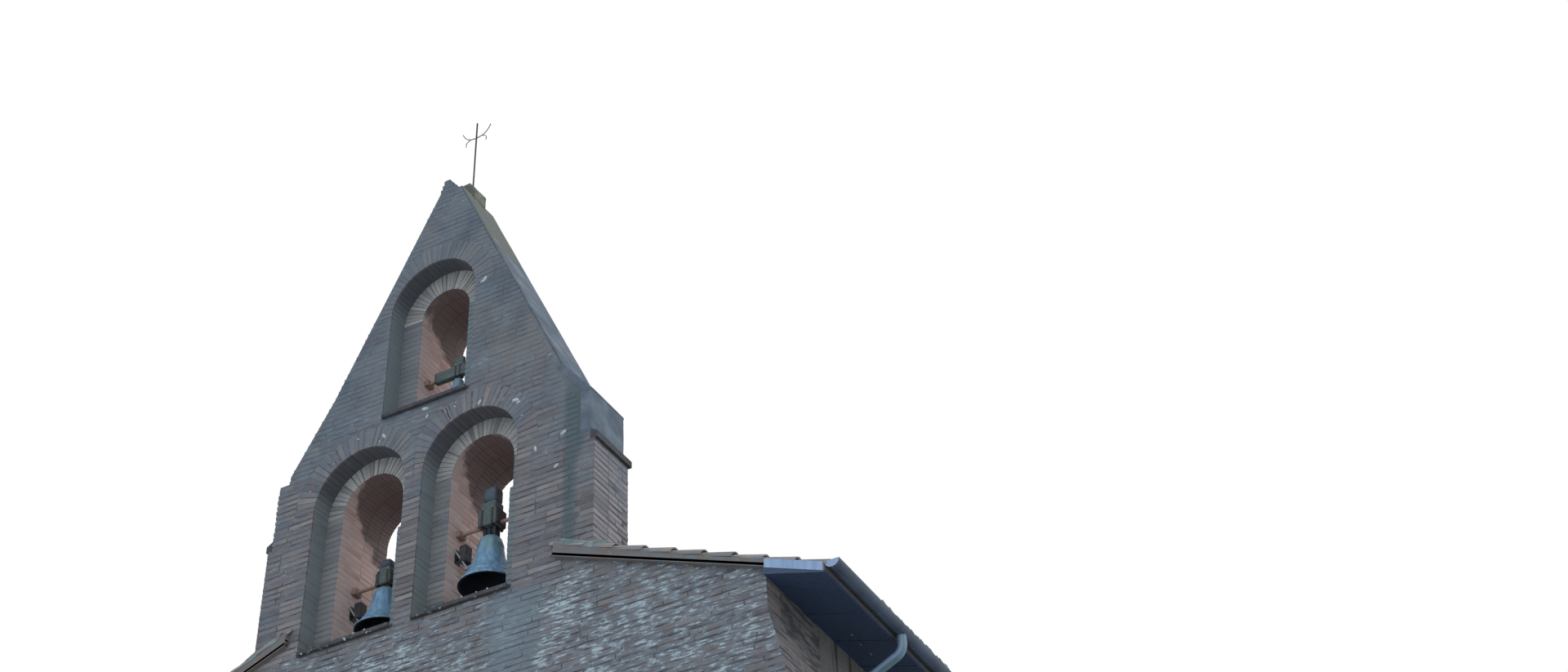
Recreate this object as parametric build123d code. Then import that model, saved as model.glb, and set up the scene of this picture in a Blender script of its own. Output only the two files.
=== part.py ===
"""A brick village church with a bell gable: one nave, a thick front wall that rises as a triangular gable with
three bell openings, and a low roof of canal tiles. Millimetres, +Z up, +Y into the building, front at low Y.
The origin is on the ground, under the middle of the building. Heights of the gable count from the sill of the
two lower bell openings."""

import os

from build123d import *

# Plan of the building
nave_half_width = 4180
nave_length = 16000
front_wall_thickness = 1110
side_wall_thickness = 600
back_wall_thickness = 600
floor_thickness = 120

# Heights
bell_sill_height = 11600
roof_slope = 0.381
roof_thickness = 85
eaves_overhang = 655
verge_overhang = 60
verge_head_half_width = 1740
ridge_radius = 110

# Bell gable, seen from the front: a block on each side, a narrower one on it, and the slopes
gable_thickness = 684
block_half_width = 2200
block_height = 1560
coping_thickness = 80
coping_overhang = 33
coping_fall = 55
upper_half_width = 2141
peak_height = 6167
peak_fall_depth = 465
peak_fall = 360

# Each slope: its shoulder, the ledge there, how far it starts over the ledge, where it steepens, and its end
SLOPES = {
    "right": dict(side=1, shoulder=2244, ledge=40, foot_rise=0, kink_x=1757, kink_height=2735, peak_x=191),
    "left": dict(side=-1, shoulder=2434, ledge=141, foot_rise=105, kink_x=1467, kink_height=3450, peak_x=133),
}

# Rear leaf of the gable, set in from its outline, which brings the openings to the front wall's full thickness
rear_inset = 320
rear_top_half_width = 149

# Bell openings: an outer order cut to the recess depth, an inner one right through
recess_depth = 265
lower_outer_radius = 641
lower_inner_radius = 426
lower_spring_height = 1920
left_opening_x = -956
right_opening_x = 555
upper_outer_radius = 613
upper_inner_radius = 345
upper_opening_x = -120
upper_sill_height = 2880
upper_spring_height = 4435
upper_arch_top_height = 5200
jamb_set_in = 40
jamb_ledge_height = 1500

# Sill courses of thin tile
sill_thickness = 45
sill_projection = 50
sill_end_inset = 30

# Cap stone, the broken brick left standing before it, and the iron cross
cap_x = 40
cap_depth = 245
cap_centre_depth = 342
cap_half_width = 180
cap_chamfer = 78
cap_lap = 67
cap_side_rise = 200
cap_top_rise = 95
peak_brick_width = 275
peak_brick_depth = 140
peak_brick_height = 198
peak_brick_lean = 68
peak_brick_top_width = 50
cross_x = 100
cross_height = 1185
cross_bar_radius = 12
cross_arm_height = 945
cross_arm_half_length = 170
cross_ring_radius = 38

# Bells. For each: the middle and the sill of its opening with the arch's radius and how far the right jamb stands
# in, its own axis and depth behind the front face, its mouth, then the canons, the headstock and the block on it
BELLS = {
    "left": dict(
        opening=left_opening_x, arch=lower_inner_radius, set_in=jamb_set_in, sill=0,
        x=-935, depth=600, mouth_radius=315, height=490, mouth=430,
        canons=90, stock_offset=0, stock_half_width=95, stock_height=170, neck_half_width=75, neck_height=170,
    ),
    "right": dict(
        opening=right_opening_x, arch=lower_inner_radius, set_in=jamb_set_in, sill=0,
        x=575, depth=470, mouth_radius=340, height=630, mouth=440,
        canons=130, stock_offset=0, stock_half_width=115, stock_height=210, neck_half_width=90, neck_height=310,
    ),
    "upper": dict(
        opening=upper_opening_x, arch=upper_inner_radius, set_in=0, sill=upper_sill_height,
        x=0, depth=450, mouth_radius=150, height=240, mouth=366,
        canons=45, stock_offset=-85, stock_half_width=235, stock_height=150, neck_half_width=70, neck_height=130,
    ),
}
canon_place_share = 0.2
canon_width_share = 0.09
canon_root_share = 0.06
stock_depth_share = 0.16
axle_over_stock_foot = 45
gudgeon_radius = 22
gudgeon_clearance = 0.1
axle_end_gap = 6
bearing_width = 60
bearing_depth = 120
bearing_height = 80

# Striking hammers on the left jambs of the two lower openings, clear of the swinging bells
hammer_standoff = 60
hammer_case_width = 100
hammer_case_depth = 140
hammer_case_height = 230
hammer_case_drop = 280
hammer_arm_drop = 200
hammer_arm_radius = 9
hammer_head_radius = 22
hammer_head_from_jamb = 161

# Lead-lined well let into the roof behind the lower openings, so that the bells can swing
landing_margin = 80
landing_depth = 330
landing_cheek = 100
landing_floor = 120
landing_kerb = 110

# Doorway in the front wall
door_half_width = 800
door_spring_height = 2200
door_head_height = 3400
door_reveal = 320
door_thickness = 60
door_gap = 4

# Side windows
window_half_width = 420
window_sill_height = 5600
window_spring_height = 7900
window_count = 3
glass_thickness = 8
glass_depth = 180

# Corner buttresses, flush with the front and the back
buttress_top_drop = 416
buttress_batter = 0.237
buttress_width = 560
buttress_length = 900

# Eaves: the boarded soffit is deepest at the wall, and zinc plates close the roof's ends over it
soffit_wall_depth = 90
soffit_edge_depth = 30
end_plate_thickness = 4
end_plate_drop = 15
end_plate_inset = 15

# Half-round gutters, each with a swan-neck and a downpipe against the side wall
gutter_radius = 80
gutter_wall = 3
outlet_setback = 1500
pipe_radius = 50
pipe_clearance = 0.3
pipe_standoff = 25
pipe_bend_radius = 130
swan_neck_drop = 170
swan_neck_fall = 320
pipe_foot_height = 150

front = -nave_length / 2
back = nave_length / 2
front_wall_back = front + front_wall_thickness
gable_back = front + gable_thickness
sill_z = bell_sill_height
eaves_half_width = nave_half_width + eaves_overhang


def roof_underside(x):
    """Height of the roof's underside at a distance x from the middle."""
    return sill_z - roof_slope * (abs(x) - block_half_width)


def elevation(points, y_from, y_to):
    """A closed outline in the X-Z plane, extruded from y_from to y_to."""
    with BuildPart() as made:
        with BuildSketch(Plane.XZ.offset(-y_to)):
            with BuildLine():
                Polyline(*points, close=True)
            make_face()
        extrude(amount=y_to - y_from)
    return made.part


def block(x_from, x_to, y_from, y_to, z_from, z_to):
    """A plain block between its two corners."""
    return Pos(x_from, y_from, z_from) * Box(
        x_to - x_from, y_to - y_from, z_to - z_from, align=(Align.MIN, Align.MIN, Align.MIN)
    )


def along_y(x, z, radius, y_from, y_to):
    """A cylinder that lies along Y."""
    return Pos(x, (y_from + y_to) / 2, z) * Rot(90, 0, 0) * Cylinder(radius, y_to - y_from)


def arched_cut(x, radius, z_from, z_spring, y_from, y_to):
    """The space of an opening with a round arch, to be cut from a wall."""
    return block(x - radius, x + radius, y_from, y_to, z_from, z_spring) + along_y(x, z_spring, radius, y_from, y_to)


def save(shape, node):
    """Writes one node."""
    export_step(shape, f"parts/{node}.step")


def gable_outline():
    """The bell gable's outline seen from the front, from its foot on the front wall."""
    sides = []
    for slope in SLOPES.values():
        ledge_x = upper_half_width - slope["ledge"]
        points = [
            (block_half_width, 0),
            (block_half_width, block_height),
            (upper_half_width, block_height),
            (upper_half_width, slope["shoulder"]),
            (ledge_x, slope["shoulder"]),
        ]
        if slope["foot_rise"]:
            points.append((ledge_x, slope["shoulder"] + slope["foot_rise"]))
        points += [(slope["kink_x"], slope["kink_height"]), (slope["peak_x"], peak_height)]
        sides.append([(slope["side"] * x, sill_z + z) for x, z in points])
    return sides[0] + sides[1][::-1]


def rear_outline():
    """The outline of the rear leaf, which keeps inside the gable's and stops short of its peak."""
    sides = []
    for slope in SLOPES.values():
        steepness = (peak_height - slope["kink_height"]) / (slope["kink_x"] - slope["peak_x"])
        kink_x = slope["kink_x"] - rear_inset
        points = [
            (block_half_width - rear_inset, 0),
            (block_half_width - rear_inset, block_height),
            (upper_half_width - slope["ledge"] - rear_inset, slope["shoulder"] + slope["foot_rise"]),
            (kink_x, slope["kink_height"]),
            (rear_top_half_width, slope["kink_height"] + steepness * (kink_x - rear_top_half_width)),
        ]
        sides.append([(slope["side"] * x, sill_z + z) for x, z in points])
    return sides[0] + sides[1][::-1]


def gable_openings():
    """The three bell openings, each with its two orders. Below its ledge, a lower one's right jamb stands in."""
    cut = []
    through = (front - 1, front_wall_back + 1)
    to_recess = (front - 1, front + recess_depth)
    for x in (left_opening_x, right_opening_x):
        spring = sill_z + lower_spring_height
        cut.append(arched_cut(x, lower_outer_radius, sill_z - 1, spring, *to_recess))
        jamb = x + lower_inner_radius - jamb_set_in
        inner = arched_cut(x, lower_inner_radius, sill_z - 1, spring, *through)
        inner -= block(jamb, x + lower_inner_radius, *through, sill_z - 1, sill_z + jamb_ledge_height)
        cut.append(inner)
    foot = sill_z + upper_sill_height
    spring = sill_z + upper_spring_height
    cut.append(arched_cut(upper_opening_x, upper_outer_radius, foot, spring, *to_recess))
    cut.append(arched_cut(upper_opening_x, upper_inner_radius, foot, spring, *through))
    return cut


def bell_gable():
    """The masonry of the gable, split at its bed joints into piers and arches, with the brick left on its peak."""
    wall = elevation(gable_outline(), front, gable_back)
    wall += elevation(rear_outline(), gable_back, front_wall_back)
    peak_z = sill_z + peak_height
    peak_left = -SLOPES["left"]["peak_x"]
    brick_top = peak_left + peak_brick_lean
    broken_brick = [
        (peak_left, peak_z - 1),
        (brick_top, peak_z + peak_brick_height),
        (brick_top + peak_brick_top_width, peak_z + peak_brick_height),
        (peak_left + peak_brick_width, peak_z - 1),
    ]
    wall += elevation(broken_brick, front, front + peak_brick_depth)
    with BuildPart() as worn_off:
        with BuildSketch(Plane.YZ.offset(-block_half_width)):
            with BuildLine():
                Polyline(
                    (front + peak_fall_depth, peak_z),
                    (gable_back, peak_z - peak_fall),
                    (gable_back + 1, peak_z - peak_fall),
                    (gable_back + 1, peak_z + 1),
                    (front + peak_fall_depth, peak_z + 1),
                    close=True,
                )
            make_face()
        extrude(amount=2 * block_half_width)
    wall -= worn_off.part
    for cut in gable_openings():
        wall -= cut
    reach = block_half_width + 1
    y_from, y_to = front - 1, front_wall_back + 1
    spring = sill_z + lower_spring_height
    upper_sill = sill_z + upper_sill_height
    upper_spring = sill_z + upper_spring_height
    arch_top = sill_z + upper_arch_top_height
    bands = {
        "left_pier": (-reach, left_opening_x, sill_z, spring),
        "middle_pier": (left_opening_x, right_opening_x, sill_z, spring),
        "right_pier": (right_opening_x, reach, sill_z, spring),
        "lower_arches": (-reach, reach, spring, upper_sill),
        "upper_left_pier": (-reach, upper_opening_x, upper_sill, upper_spring),
        "upper_right_pier": (upper_opening_x, reach, upper_sill, upper_spring),
        "upper_arch": (-reach, reach, upper_spring, arch_top),
        "gable_peak": (-reach, reach, arch_top, sill_z + peak_height + 2 * peak_brick_height),
    }
    for node, (x_from, x_to, z_from, z_to) in bands.items():
        save(wall & block(x_from, x_to, y_from, y_to, z_from, z_to), node)


def front_wall():
    """The front wall under the gable, split beside and over its doorway."""
    y_from, y_to = front, front_wall_back
    save(block(-nave_half_width, -door_half_width, y_from, y_to, 0, door_head_height), "front_wall_left")
    save(block(door_half_width, nave_half_width, y_from, y_to, 0, door_head_height), "front_wall_right")
    head = block(-door_half_width, door_half_width, y_from, y_to, door_spring_height, door_head_height)
    head -= arched_cut(0, door_half_width, 0, door_spring_height, y_from - 1, y_to + 1)
    save(head, "doorway_arch")
    eaves = roof_underside(nave_half_width)
    outline = [
        (-nave_half_width, door_head_height),
        (nave_half_width, door_head_height),
        (nave_half_width, eaves),
        (block_half_width, sill_z),
        (-block_half_width, sill_z),
        (-nave_half_width, eaves),
    ]
    save(elevation(outline, y_from, y_to), "front_wall")


def door():
    """Two plank leaves, closed against the doorway and each other, and the step that they stand on."""
    y_from = front + door_reveal
    y_to = y_from + door_thickness
    opening = arched_cut(0, door_half_width, floor_thickness, door_spring_height, y_from, y_to)
    reach = door_half_width + 1
    top = door_spring_height + door_half_width + 1
    left = opening & block(-reach, -door_gap / 2, y_from, y_to, 0, top)
    right = opening & block(door_gap / 2, reach, y_from, y_to, 0, top)
    save(Compound(children=[*left.solids(), *right.solids()]), "door_leaves")
    step = block(-door_half_width, door_half_width, front, front_wall_back, 0, floor_thickness)
    save(step, "door_step")


def nave_walls():
    """The side walls with their windows, the back wall and the floor."""
    inner = nave_half_width - side_wall_thickness
    y_from = front_wall_back
    y_to = back - back_wall_thickness
    clear = y_to - y_from
    for side, node in ((-1, "left_wall"), (1, "right_wall")):
        outline = [
            (side * inner, 0),
            (side * nave_half_width, 0),
            (side * nave_half_width, roof_underside(nave_half_width)),
            (side * inner, roof_underside(inner)),
        ]
        wall = elevation(outline, y_from, y_to)
        panes = []
        for k in range(window_count):
            y = y_from + clear * (k + 0.5) / window_count
            wall -= side_window(side, y, window_half_width, nave_half_width + 1, inner - 1)
            outer_face = nave_half_width - glass_depth
            panes.append(side_window(side, y, window_half_width - 1, outer_face, outer_face - glass_thickness))
        save(wall, node)
        save(Compound(children=panes), node.replace("_wall", "_windows"))
    ridge = roof_underside(0)
    eaves = roof_underside(nave_half_width)
    outline = [
        (-nave_half_width, 0),
        (nave_half_width, 0),
        (nave_half_width, eaves),
        (0, ridge),
        (-nave_half_width, eaves),
    ]
    save(elevation(outline, y_to, back), "back_wall")
    save(block(-inner, inner, y_from, y_to, 0, floor_thickness), "nave_floor")


def side_window(side, y, half_width, x_outer, x_inner):
    """The space of one side window between two depths of the wall, with its round head."""
    z_from = window_sill_height + (window_half_width - half_width)
    length = x_outer - x_inner
    middle = side * (x_outer + x_inner) / 2
    lower = Pos(middle, y, (z_from + window_spring_height) / 2) * Box(
        length, 2 * half_width, window_spring_height - z_from
    )
    head = Pos(middle, y, window_spring_height) * Rot(0, 90, 0) * Cylinder(half_width, length)
    return lower + head


def buttresses():
    """Four corner buttresses that lean on the side walls, with a long weathered head."""
    top = roof_underside(nave_half_width) - buttress_top_drop
    foot = top - buttress_width / buttress_batter
    made = []
    for side in (-1, 1):
        outline = [
            (side * nave_half_width, 0),
            (side * (nave_half_width + buttress_width), 0),
            (side * (nave_half_width + buttress_width), foot),
            (side * nave_half_width, top),
        ]
        made.append(elevation(outline, front, front + buttress_length))
        made.append(elevation(outline, back - buttress_length, back))
    save(Compound(children=made), "buttresses")


def landing_space(grow, z_from):
    """The space of the well behind the bells, with its cheeks if grow is their thickness."""
    x_from = left_opening_x - lower_inner_radius - landing_margin - grow
    x_to = right_opening_x + lower_inner_radius + landing_margin + grow
    top = roof_underside(0) + 10 * landing_kerb
    return block(x_from, x_to, front_wall_back, front_wall_back + landing_depth + grow, z_from, top)


def bell_landing():
    """A flat floor behind the lower openings, with cheeks that stand a kerb's height over the roof."""
    edge = eaves_half_width
    rise = roof_thickness + landing_kerb
    under_kerb = [
        (-edge, roof_underside(edge) + rise),
        (-edge, sill_z - nave_half_width),
        (edge, sill_z - nave_half_width),
        (edge, roof_underside(edge) + rise),
        (0, roof_underside(0) + rise),
    ]
    tray = landing_space(landing_cheek, sill_z - landing_floor)
    tray &= elevation(under_kerb, front_wall_back, front_wall_back + landing_depth + landing_cheek)
    save(tray - landing_space(0, sill_z), "bell_landing")


def roof_band(side, x_from, y_from, y_to):
    """A stretch of one roof slab, from a distance off the middle to the eaves."""
    outline = [
        (side * x_from, roof_underside(x_from)),
        (side * eaves_half_width, roof_underside(eaves_half_width)),
        (side * eaves_half_width, roof_underside(eaves_half_width) + roof_thickness),
        (side * x_from, roof_underside(x_from) + roof_thickness),
    ]
    return elevation(outline, y_from, y_to)


def roof():
    """The two tiled slopes and the ridge, and in front of them the verges, which go round the well and the gable
    and run on a little over the front face."""
    verge_face = front - verge_overhang
    well_back = front_wall_back + landing_depth + landing_cheek
    roof_end = back + verge_overhang
    well_edges = {
        -1: lower_inner_radius + landing_margin + landing_cheek - left_opening_x,
        1: lower_inner_radius + landing_margin + landing_cheek + right_opening_x,
    }
    verges = []
    for side, node in ((-1, "left_roof"), (1, "right_roof")):
        save(roof_band(side, 0, well_back, roof_end), node)
        verge = roof_band(side, verge_head_half_width, verge_face, front)
        verge += roof_band(side, block_half_width, verge_face, gable_back)
        verge += roof_band(side, block_half_width - rear_inset, gable_back, front_wall_back)
        verge += roof_band(side, well_edges[side], front_wall_back, well_back)
        verges.append(verge)
    save(Compound(children=verges), "verges")
    ridge_z = roof_underside(0) + roof_thickness
    cap = along_y(0, ridge_z, ridge_radius, well_back, roof_end)
    for side in (-1, 1):
        under = [
            (0, roof_underside(eaves_half_width)),
            (side * eaves_half_width, roof_underside(eaves_half_width)),
            (side * eaves_half_width, roof_underside(eaves_half_width) + roof_thickness),
            (0, ridge_z),
        ]
        cap -= elevation(under, front, roof_end + verge_overhang)
    save(cap, "ridge_tiles")


def eaves_boards():
    """The boarded soffits under the eaves and the zinc plates that close the roof's front and back ends."""
    wall, edge = nave_half_width, eaves_half_width
    y_from, y_to = front - verge_overhang, back + verge_overhang
    plate_from, plate_to = wall + end_plate_inset, edge - end_plate_inset
    soffits, plates = [], []
    for side in (-1, 1):
        outline = [
            (side * wall, roof_underside(wall) - soffit_wall_depth),
            (side * edge, roof_underside(edge) - soffit_edge_depth),
            (side * edge, roof_underside(edge)),
            (side * wall, roof_underside(wall)),
        ]
        soffits.append(elevation(outline, y_from, y_to))
        plate = [
            (side * plate_from, roof_underside(plate_from) - end_plate_drop),
            (side * plate_to, roof_underside(plate_to) - end_plate_drop),
            (side * plate_to, roof_underside(plate_to) + roof_thickness),
            (side * plate_from, roof_underside(plate_from) + roof_thickness),
        ]
        plates.append(elevation(plate, y_from - end_plate_thickness, y_from))
        plates.append(elevation(plate, y_to, y_to + end_plate_thickness))
    save(Compound(children=soffits), "soffits")
    save(Compound(children=plates), "eaves_end_plates")


def rainwater_pipes():
    """The half-round gutters along both eaves, and from each a swan-neck and a downpipe to the ground."""
    y_from, y_to = front - verge_overhang, back + verge_overhang
    rim = roof_underside(eaves_half_width) + roof_thickness
    outlet_y = front + outlet_setback
    neck_z = rim - gutter_radius - swan_neck_drop
    made = []
    for side in (-1, 1):
        x = side * (eaves_half_width + gutter_radius)
        lower_half = block(x - gutter_radius, x + gutter_radius, y_from, y_to, rim - gutter_radius, rim)
        gutter = along_y(x, rim, gutter_radius, y_from, y_to) & lower_half
        gutter -= along_y(x, rim, gutter_radius - gutter_wall, y_from + gutter_wall, y_to - gutter_wall)
        wall_x = side * (nave_half_width + pipe_standoff + pipe_radius)
        with BuildPart() as pipe:
            with BuildLine() as route:
                FilletPolyline(
                    (x, outlet_y, rim),
                    (x, outlet_y, neck_z),
                    (wall_x, outlet_y, neck_z - swan_neck_fall),
                    (wall_x, outlet_y, pipe_foot_height),
                    radius=pipe_bend_radius,
                )
            with BuildSketch(Plane(origin=route.line @ 0, z_dir=route.line % 0)):
                Circle(pipe_radius)
            sweep()
        seat = along_y(x, rim, gutter_radius + pipe_clearance, y_from, y_to)
        made.append(gutter)
        made.append(pipe.part - seat)
    save(Compound(children=made), "gutters_and_downpipes")


def copings():
    """The thin slabs on the shoulders of the lower side blocks, which fall outwards."""
    slabs = []
    inner, outer = upper_half_width, block_half_width + coping_overhang
    bed = sill_z + block_height
    for side in (-1, 1):
        outline = [
            (side * inner, bed),
            (side * outer, bed),
            (side * outer, bed + coping_thickness),
            (side * inner, bed + coping_thickness + coping_fall),
        ]
        slabs.append(elevation(outline, front, gable_back + coping_overhang))
    save(Compound(children=slabs), "shoulder_copings")


def sill(x, outer, inner, set_in, z):
    """One sill course: it lies in the opening and its lip stops a little short of the recess on both sides."""
    bed = block(x - inner, x + inner - set_in, front, front_wall_back, z, z + sill_thickness)
    bed += block(x - outer, x + outer, front, front + recess_depth, z, z + sill_thickness)
    reach = outer - sill_end_inset
    bed += block(x - reach, x + reach, front - sill_projection, front, z, z + sill_thickness)
    return bed


def sills():
    """The sill courses of the three openings."""
    lower = [
        sill(x, lower_outer_radius, lower_inner_radius, jamb_set_in, sill_z)
        for x in (left_opening_x, right_opening_x)
    ]
    save(Compound(children=lower), "lower_sills")
    save(sill(upper_opening_x, upper_outer_radius, upper_inner_radius, 0, sill_z + upper_sill_height), "upper_sill")


def peak():
    """The stone that laps over the gable's peak, its top edges taken off, and the iron cross that stands on it."""
    y_from = front + cap_centre_depth - cap_depth / 2
    y_to = y_from + cap_depth
    base = sill_z + peak_height - cap_lap
    side_top = base + cap_side_rise
    foot = side_top + cap_top_rise
    right = [(cap_half_width, base), (cap_half_width, side_top), (cap_half_width - cap_chamfer, foot)]
    outline = [(cap_x + x, z) for x, z in right] + [(cap_x - x, z) for x, z in right[::-1]]
    stone = elevation(outline, y_from, y_to)
    stone -= elevation(gable_outline(), front, gable_back)
    save(stone, "cap_stone")
    y = front + cap_centre_depth
    arm_z = foot + cross_arm_height
    cross = Pos(cross_x, y, foot + cross_height / 2) * Cylinder(cross_bar_radius, cross_height)
    cross += Pos(cross_x, y, arm_z) * Rot(0, 90, 0) * Cylinder(cross_bar_radius, 2 * cross_arm_half_length)
    for side in (-1, 1):
        x = cross_x + side * (cross_arm_half_length + cross_ring_radius)
        cross += Pos(x, y, arm_z) * Rot(90, 0, 0) * Torus(cross_ring_radius, cross_bar_radius)
    save(cross, "cross")


def bell_body(mouth_radius, height):
    """A bell turned about its own axis, mouth at z = 0: a flared lip under a slim waist."""
    flank = [(1.0, 0.0), (0.98, 0.045), (0.84, 0.15), (0.76, 0.22), (0.634, 0.375), (0.55, 0.473), (0.49, 0.6),
             (0.45, 0.72), (0.41, 0.845)]
    outside = [(mouth_radius * r, height * z) for r, z in flank]
    shoulder = [(mouth_radius * 0.366, height * 0.93), (mouth_radius * 0.28, height * 0.977)]
    wall = 0.07 * mouth_radius
    inside = [(mouth_radius * r - wall, height * (z - 0.02)) for r, z in flank[:2:-1]]
    lip = (mouth_radius - 1.1 * wall, 0)
    inside_top = (mouth_radius * 0.22, height * 0.91)
    with BuildPart() as turned:
        with BuildSketch(Plane.XZ):
            with BuildLine():
                outer = Spline(*outside)
                top = Polyline(outer @ 1, *shoulder, (0, height), (0, height * 0.92), inside_top, inside[0])
                inner = Spline(top @ 1, *inside[1:], lip)
                Line(inner @ 1, outer @ 0)
            make_face()
        revolve(axis=Axis.Z)
    return turned.part


def stock_foot(size):
    """Height of the underside of a bell's headstock."""
    return sill_z + size["sill"] + size["mouth"] + size["height"] + size["canons"]


def axle_height(size):
    """Height of a bell's axle, in the foot of its headstock."""
    return stock_foot(size) + axle_over_stock_foot


def jambs(size):
    """Where the two jambs of a bell's opening stand."""
    return size["opening"] - size["arch"], size["opening"] + size["arch"] - size["set_in"]


def bells():
    """Each bell with its headstock and axle, and the bearings on the jambs."""
    bearings = []
    for name, size in BELLS.items():
        x, y = size["x"], front + size["depth"]
        mouth_z = sill_z + size["sill"] + size["mouth"]
        radius, height = size["mouth_radius"], size["height"]
        body = bell_body(radius, height)
        root = (1 - canon_root_share) * height
        for side in (-1, 1):
            canon_x = side * canon_place_share * radius
            half = canon_width_share * radius / 2
            body += block(canon_x - half, canon_x + half, -2 * half, 2 * half, root, height + size["canons"])
        save(Pos(x, y, mouth_z) * body, f"{name}_bell")
        foot = stock_foot(size)
        shoulder = foot + size["stock_height"]
        deep = stock_depth_share * height
        middle = x + size["stock_offset"]
        half, neck = size["stock_half_width"], size["neck_half_width"]
        stock = block(middle - half, middle + half, y - deep, y + deep, foot, shoulder)
        stock += block(x - neck, x + neck, y - 0.8 * deep, y + 0.8 * deep, shoulder, shoulder + size["neck_height"])
        left_jamb, right_jamb = jambs(size)
        span, pivot = right_jamb - left_jamb, Pos((left_jamb + right_jamb) / 2, y, axle_height(size))
        save(stock - pivot * Rot(0, 90, 0) * Cylinder(gudgeon_radius, span), f"{name}_headstock")
        save(pivot * Rot(0, 90, 0) * Cylinder(gudgeon_radius, span - 2 * axle_end_gap), f"{name}_axle")
        hole = pivot * Rot(0, 90, 0) * Cylinder(gudgeon_radius + gudgeon_clearance, span + 2)
        for x_from, x_to in ((left_jamb, left_jamb + bearing_width), (right_jamb - bearing_width, right_jamb)):
            z = axle_height(size)
            bearing = block(
                x_from, x_to, y - bearing_depth / 2, y + bearing_depth / 2,
                z - bearing_height / 2, z + bearing_height / 2,
            )
            bearings.append(bearing - hole)
    save(Compound(children=bearings), "bearings")


def hammers():
    """The fixed hammers: a case held off the left jamb and a light arm with a round head beside the bell."""
    made = []
    for name in ("left", "right"):
        size = BELLS[name]
        y = front + size["depth"]
        jamb_x, _ = jambs(size)
        x = jamb_x + hammer_standoff
        z = axle_height(size) - hammer_case_drop
        deep, high = hammer_case_depth / 2, hammer_case_height / 2
        unit = block(x, x + hammer_case_width, y - deep, y + deep, z - high, z + high)
        unit += block(jamb_x, x + 1, y - 0.3 * deep, y + 0.3 * deep, z - 0.25 * high, z + 0.25 * high)
        start = (x + hammer_case_width / 2, y, z)
        head = (jamb_x + hammer_head_from_jamb, y, z - hammer_arm_drop)
        reach = ((head[0] - start[0]) ** 2 + (head[2] - start[2]) ** 2) ** 0.5
        along = Plane(origin=start, z_dir=(head[0] - start[0], 0, head[2] - start[2]))
        unit += along * Cylinder(hammer_arm_radius, reach, align=(Align.CENTER, Align.CENTER, Align.MIN))
        unit += Pos(*head) * Sphere(hammer_head_radius)
        made.append(unit)
    save(Compound(children=made), "hammers")


def main():
    os.makedirs("parts", exist_ok=True)
    bell_gable()
    front_wall()
    door()
    nave_walls()
    buttresses()
    roof()
    eaves_boards()
    rainwater_pipes()
    bell_landing()
    copings()
    sills()
    peak()
    bells()
    hammers()


main()
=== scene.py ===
"""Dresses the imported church: brick skins laid course by course, canal tiles, bells, ironwork, stone and plaster,
with the light and the camera. Metres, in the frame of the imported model."""
import math
import random
from functools import partial

import bmesh
import bpy
from mathutils import Matrix, Vector, noise


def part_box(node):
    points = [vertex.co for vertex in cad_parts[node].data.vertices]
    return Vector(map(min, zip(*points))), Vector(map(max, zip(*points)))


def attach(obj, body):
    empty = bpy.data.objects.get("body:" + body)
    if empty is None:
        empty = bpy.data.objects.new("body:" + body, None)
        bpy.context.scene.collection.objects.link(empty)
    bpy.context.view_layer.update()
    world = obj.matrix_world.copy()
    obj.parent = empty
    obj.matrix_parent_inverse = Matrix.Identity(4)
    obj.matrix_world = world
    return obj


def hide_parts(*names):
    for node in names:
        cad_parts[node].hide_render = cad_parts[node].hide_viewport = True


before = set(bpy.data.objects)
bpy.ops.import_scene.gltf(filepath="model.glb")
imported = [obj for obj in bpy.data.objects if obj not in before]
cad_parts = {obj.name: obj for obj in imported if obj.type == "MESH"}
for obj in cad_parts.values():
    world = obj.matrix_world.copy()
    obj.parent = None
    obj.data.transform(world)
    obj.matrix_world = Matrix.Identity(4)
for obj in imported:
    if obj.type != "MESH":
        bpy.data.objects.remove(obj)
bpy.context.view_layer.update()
random.seed(41)

# Places that the brickwork keeps to, as in the solids
FRONT, BACK = -8.0, 8.0
GABLE, WALL, BACK_WALL = 0.684, 1.11, 0.6
SILL = 11.6
HALF_WIDTH = 4.18
SLOPE, VERGE_SLOPE, SLAB = 0.381, 0.413, 0.085
BLOCK_HALF, BLOCK_TOP = 2.2, SILL + 1.56
COPING_TOP = BLOCK_TOP + 0.135
UPPER_HALF = 2.141
PEAK = SILL + 6.167
# Each side of the gable: its shoulder, the half width and height where its slope starts and where it steepens, and
# the half width at the peak
SLOPES = {
    -1: (SILL + 2.434, 2.0, SILL + 2.539, 1.467, SILL + 3.45, 0.133),
    1: (SILL + 2.244, 2.101, SILL + 2.244, 1.757, SILL + 2.735, 0.191),
}
REAR_INSET, REAR_TOP_HALF = 0.32, 0.149
RECESS = 0.265
JAMB_SET_IN, JAMB_LEDGE = 0.04, SILL + 1.5
BUTTRESS_TOP = SILL - SLOPE * (HALF_WIDTH - BLOCK_HALF) - 0.416
BUTTRESS_BATTER, BUTTRESS_WIDTH, BUTTRESS_LENGTH = 0.237, 0.56, 0.9
DOOR_HALF, DOOR_SPRING, DOOR_IN = 0.8, 2.2, 0.112
WINDOW_HALF, WINDOW_SILL, WINDOW_SPRING, WINDOWS, GLASS_IN = 0.42, 5.6, 7.9, 3, 0.184
WALL_CLEAR = BACK - BACK_WALL - (FRONT + WALL)
WINDOW_PLACES = [FRONT + WALL + WALL_CLEAR * (number + 0.5) / WINDOWS for number in range(WINDOWS)]
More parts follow.
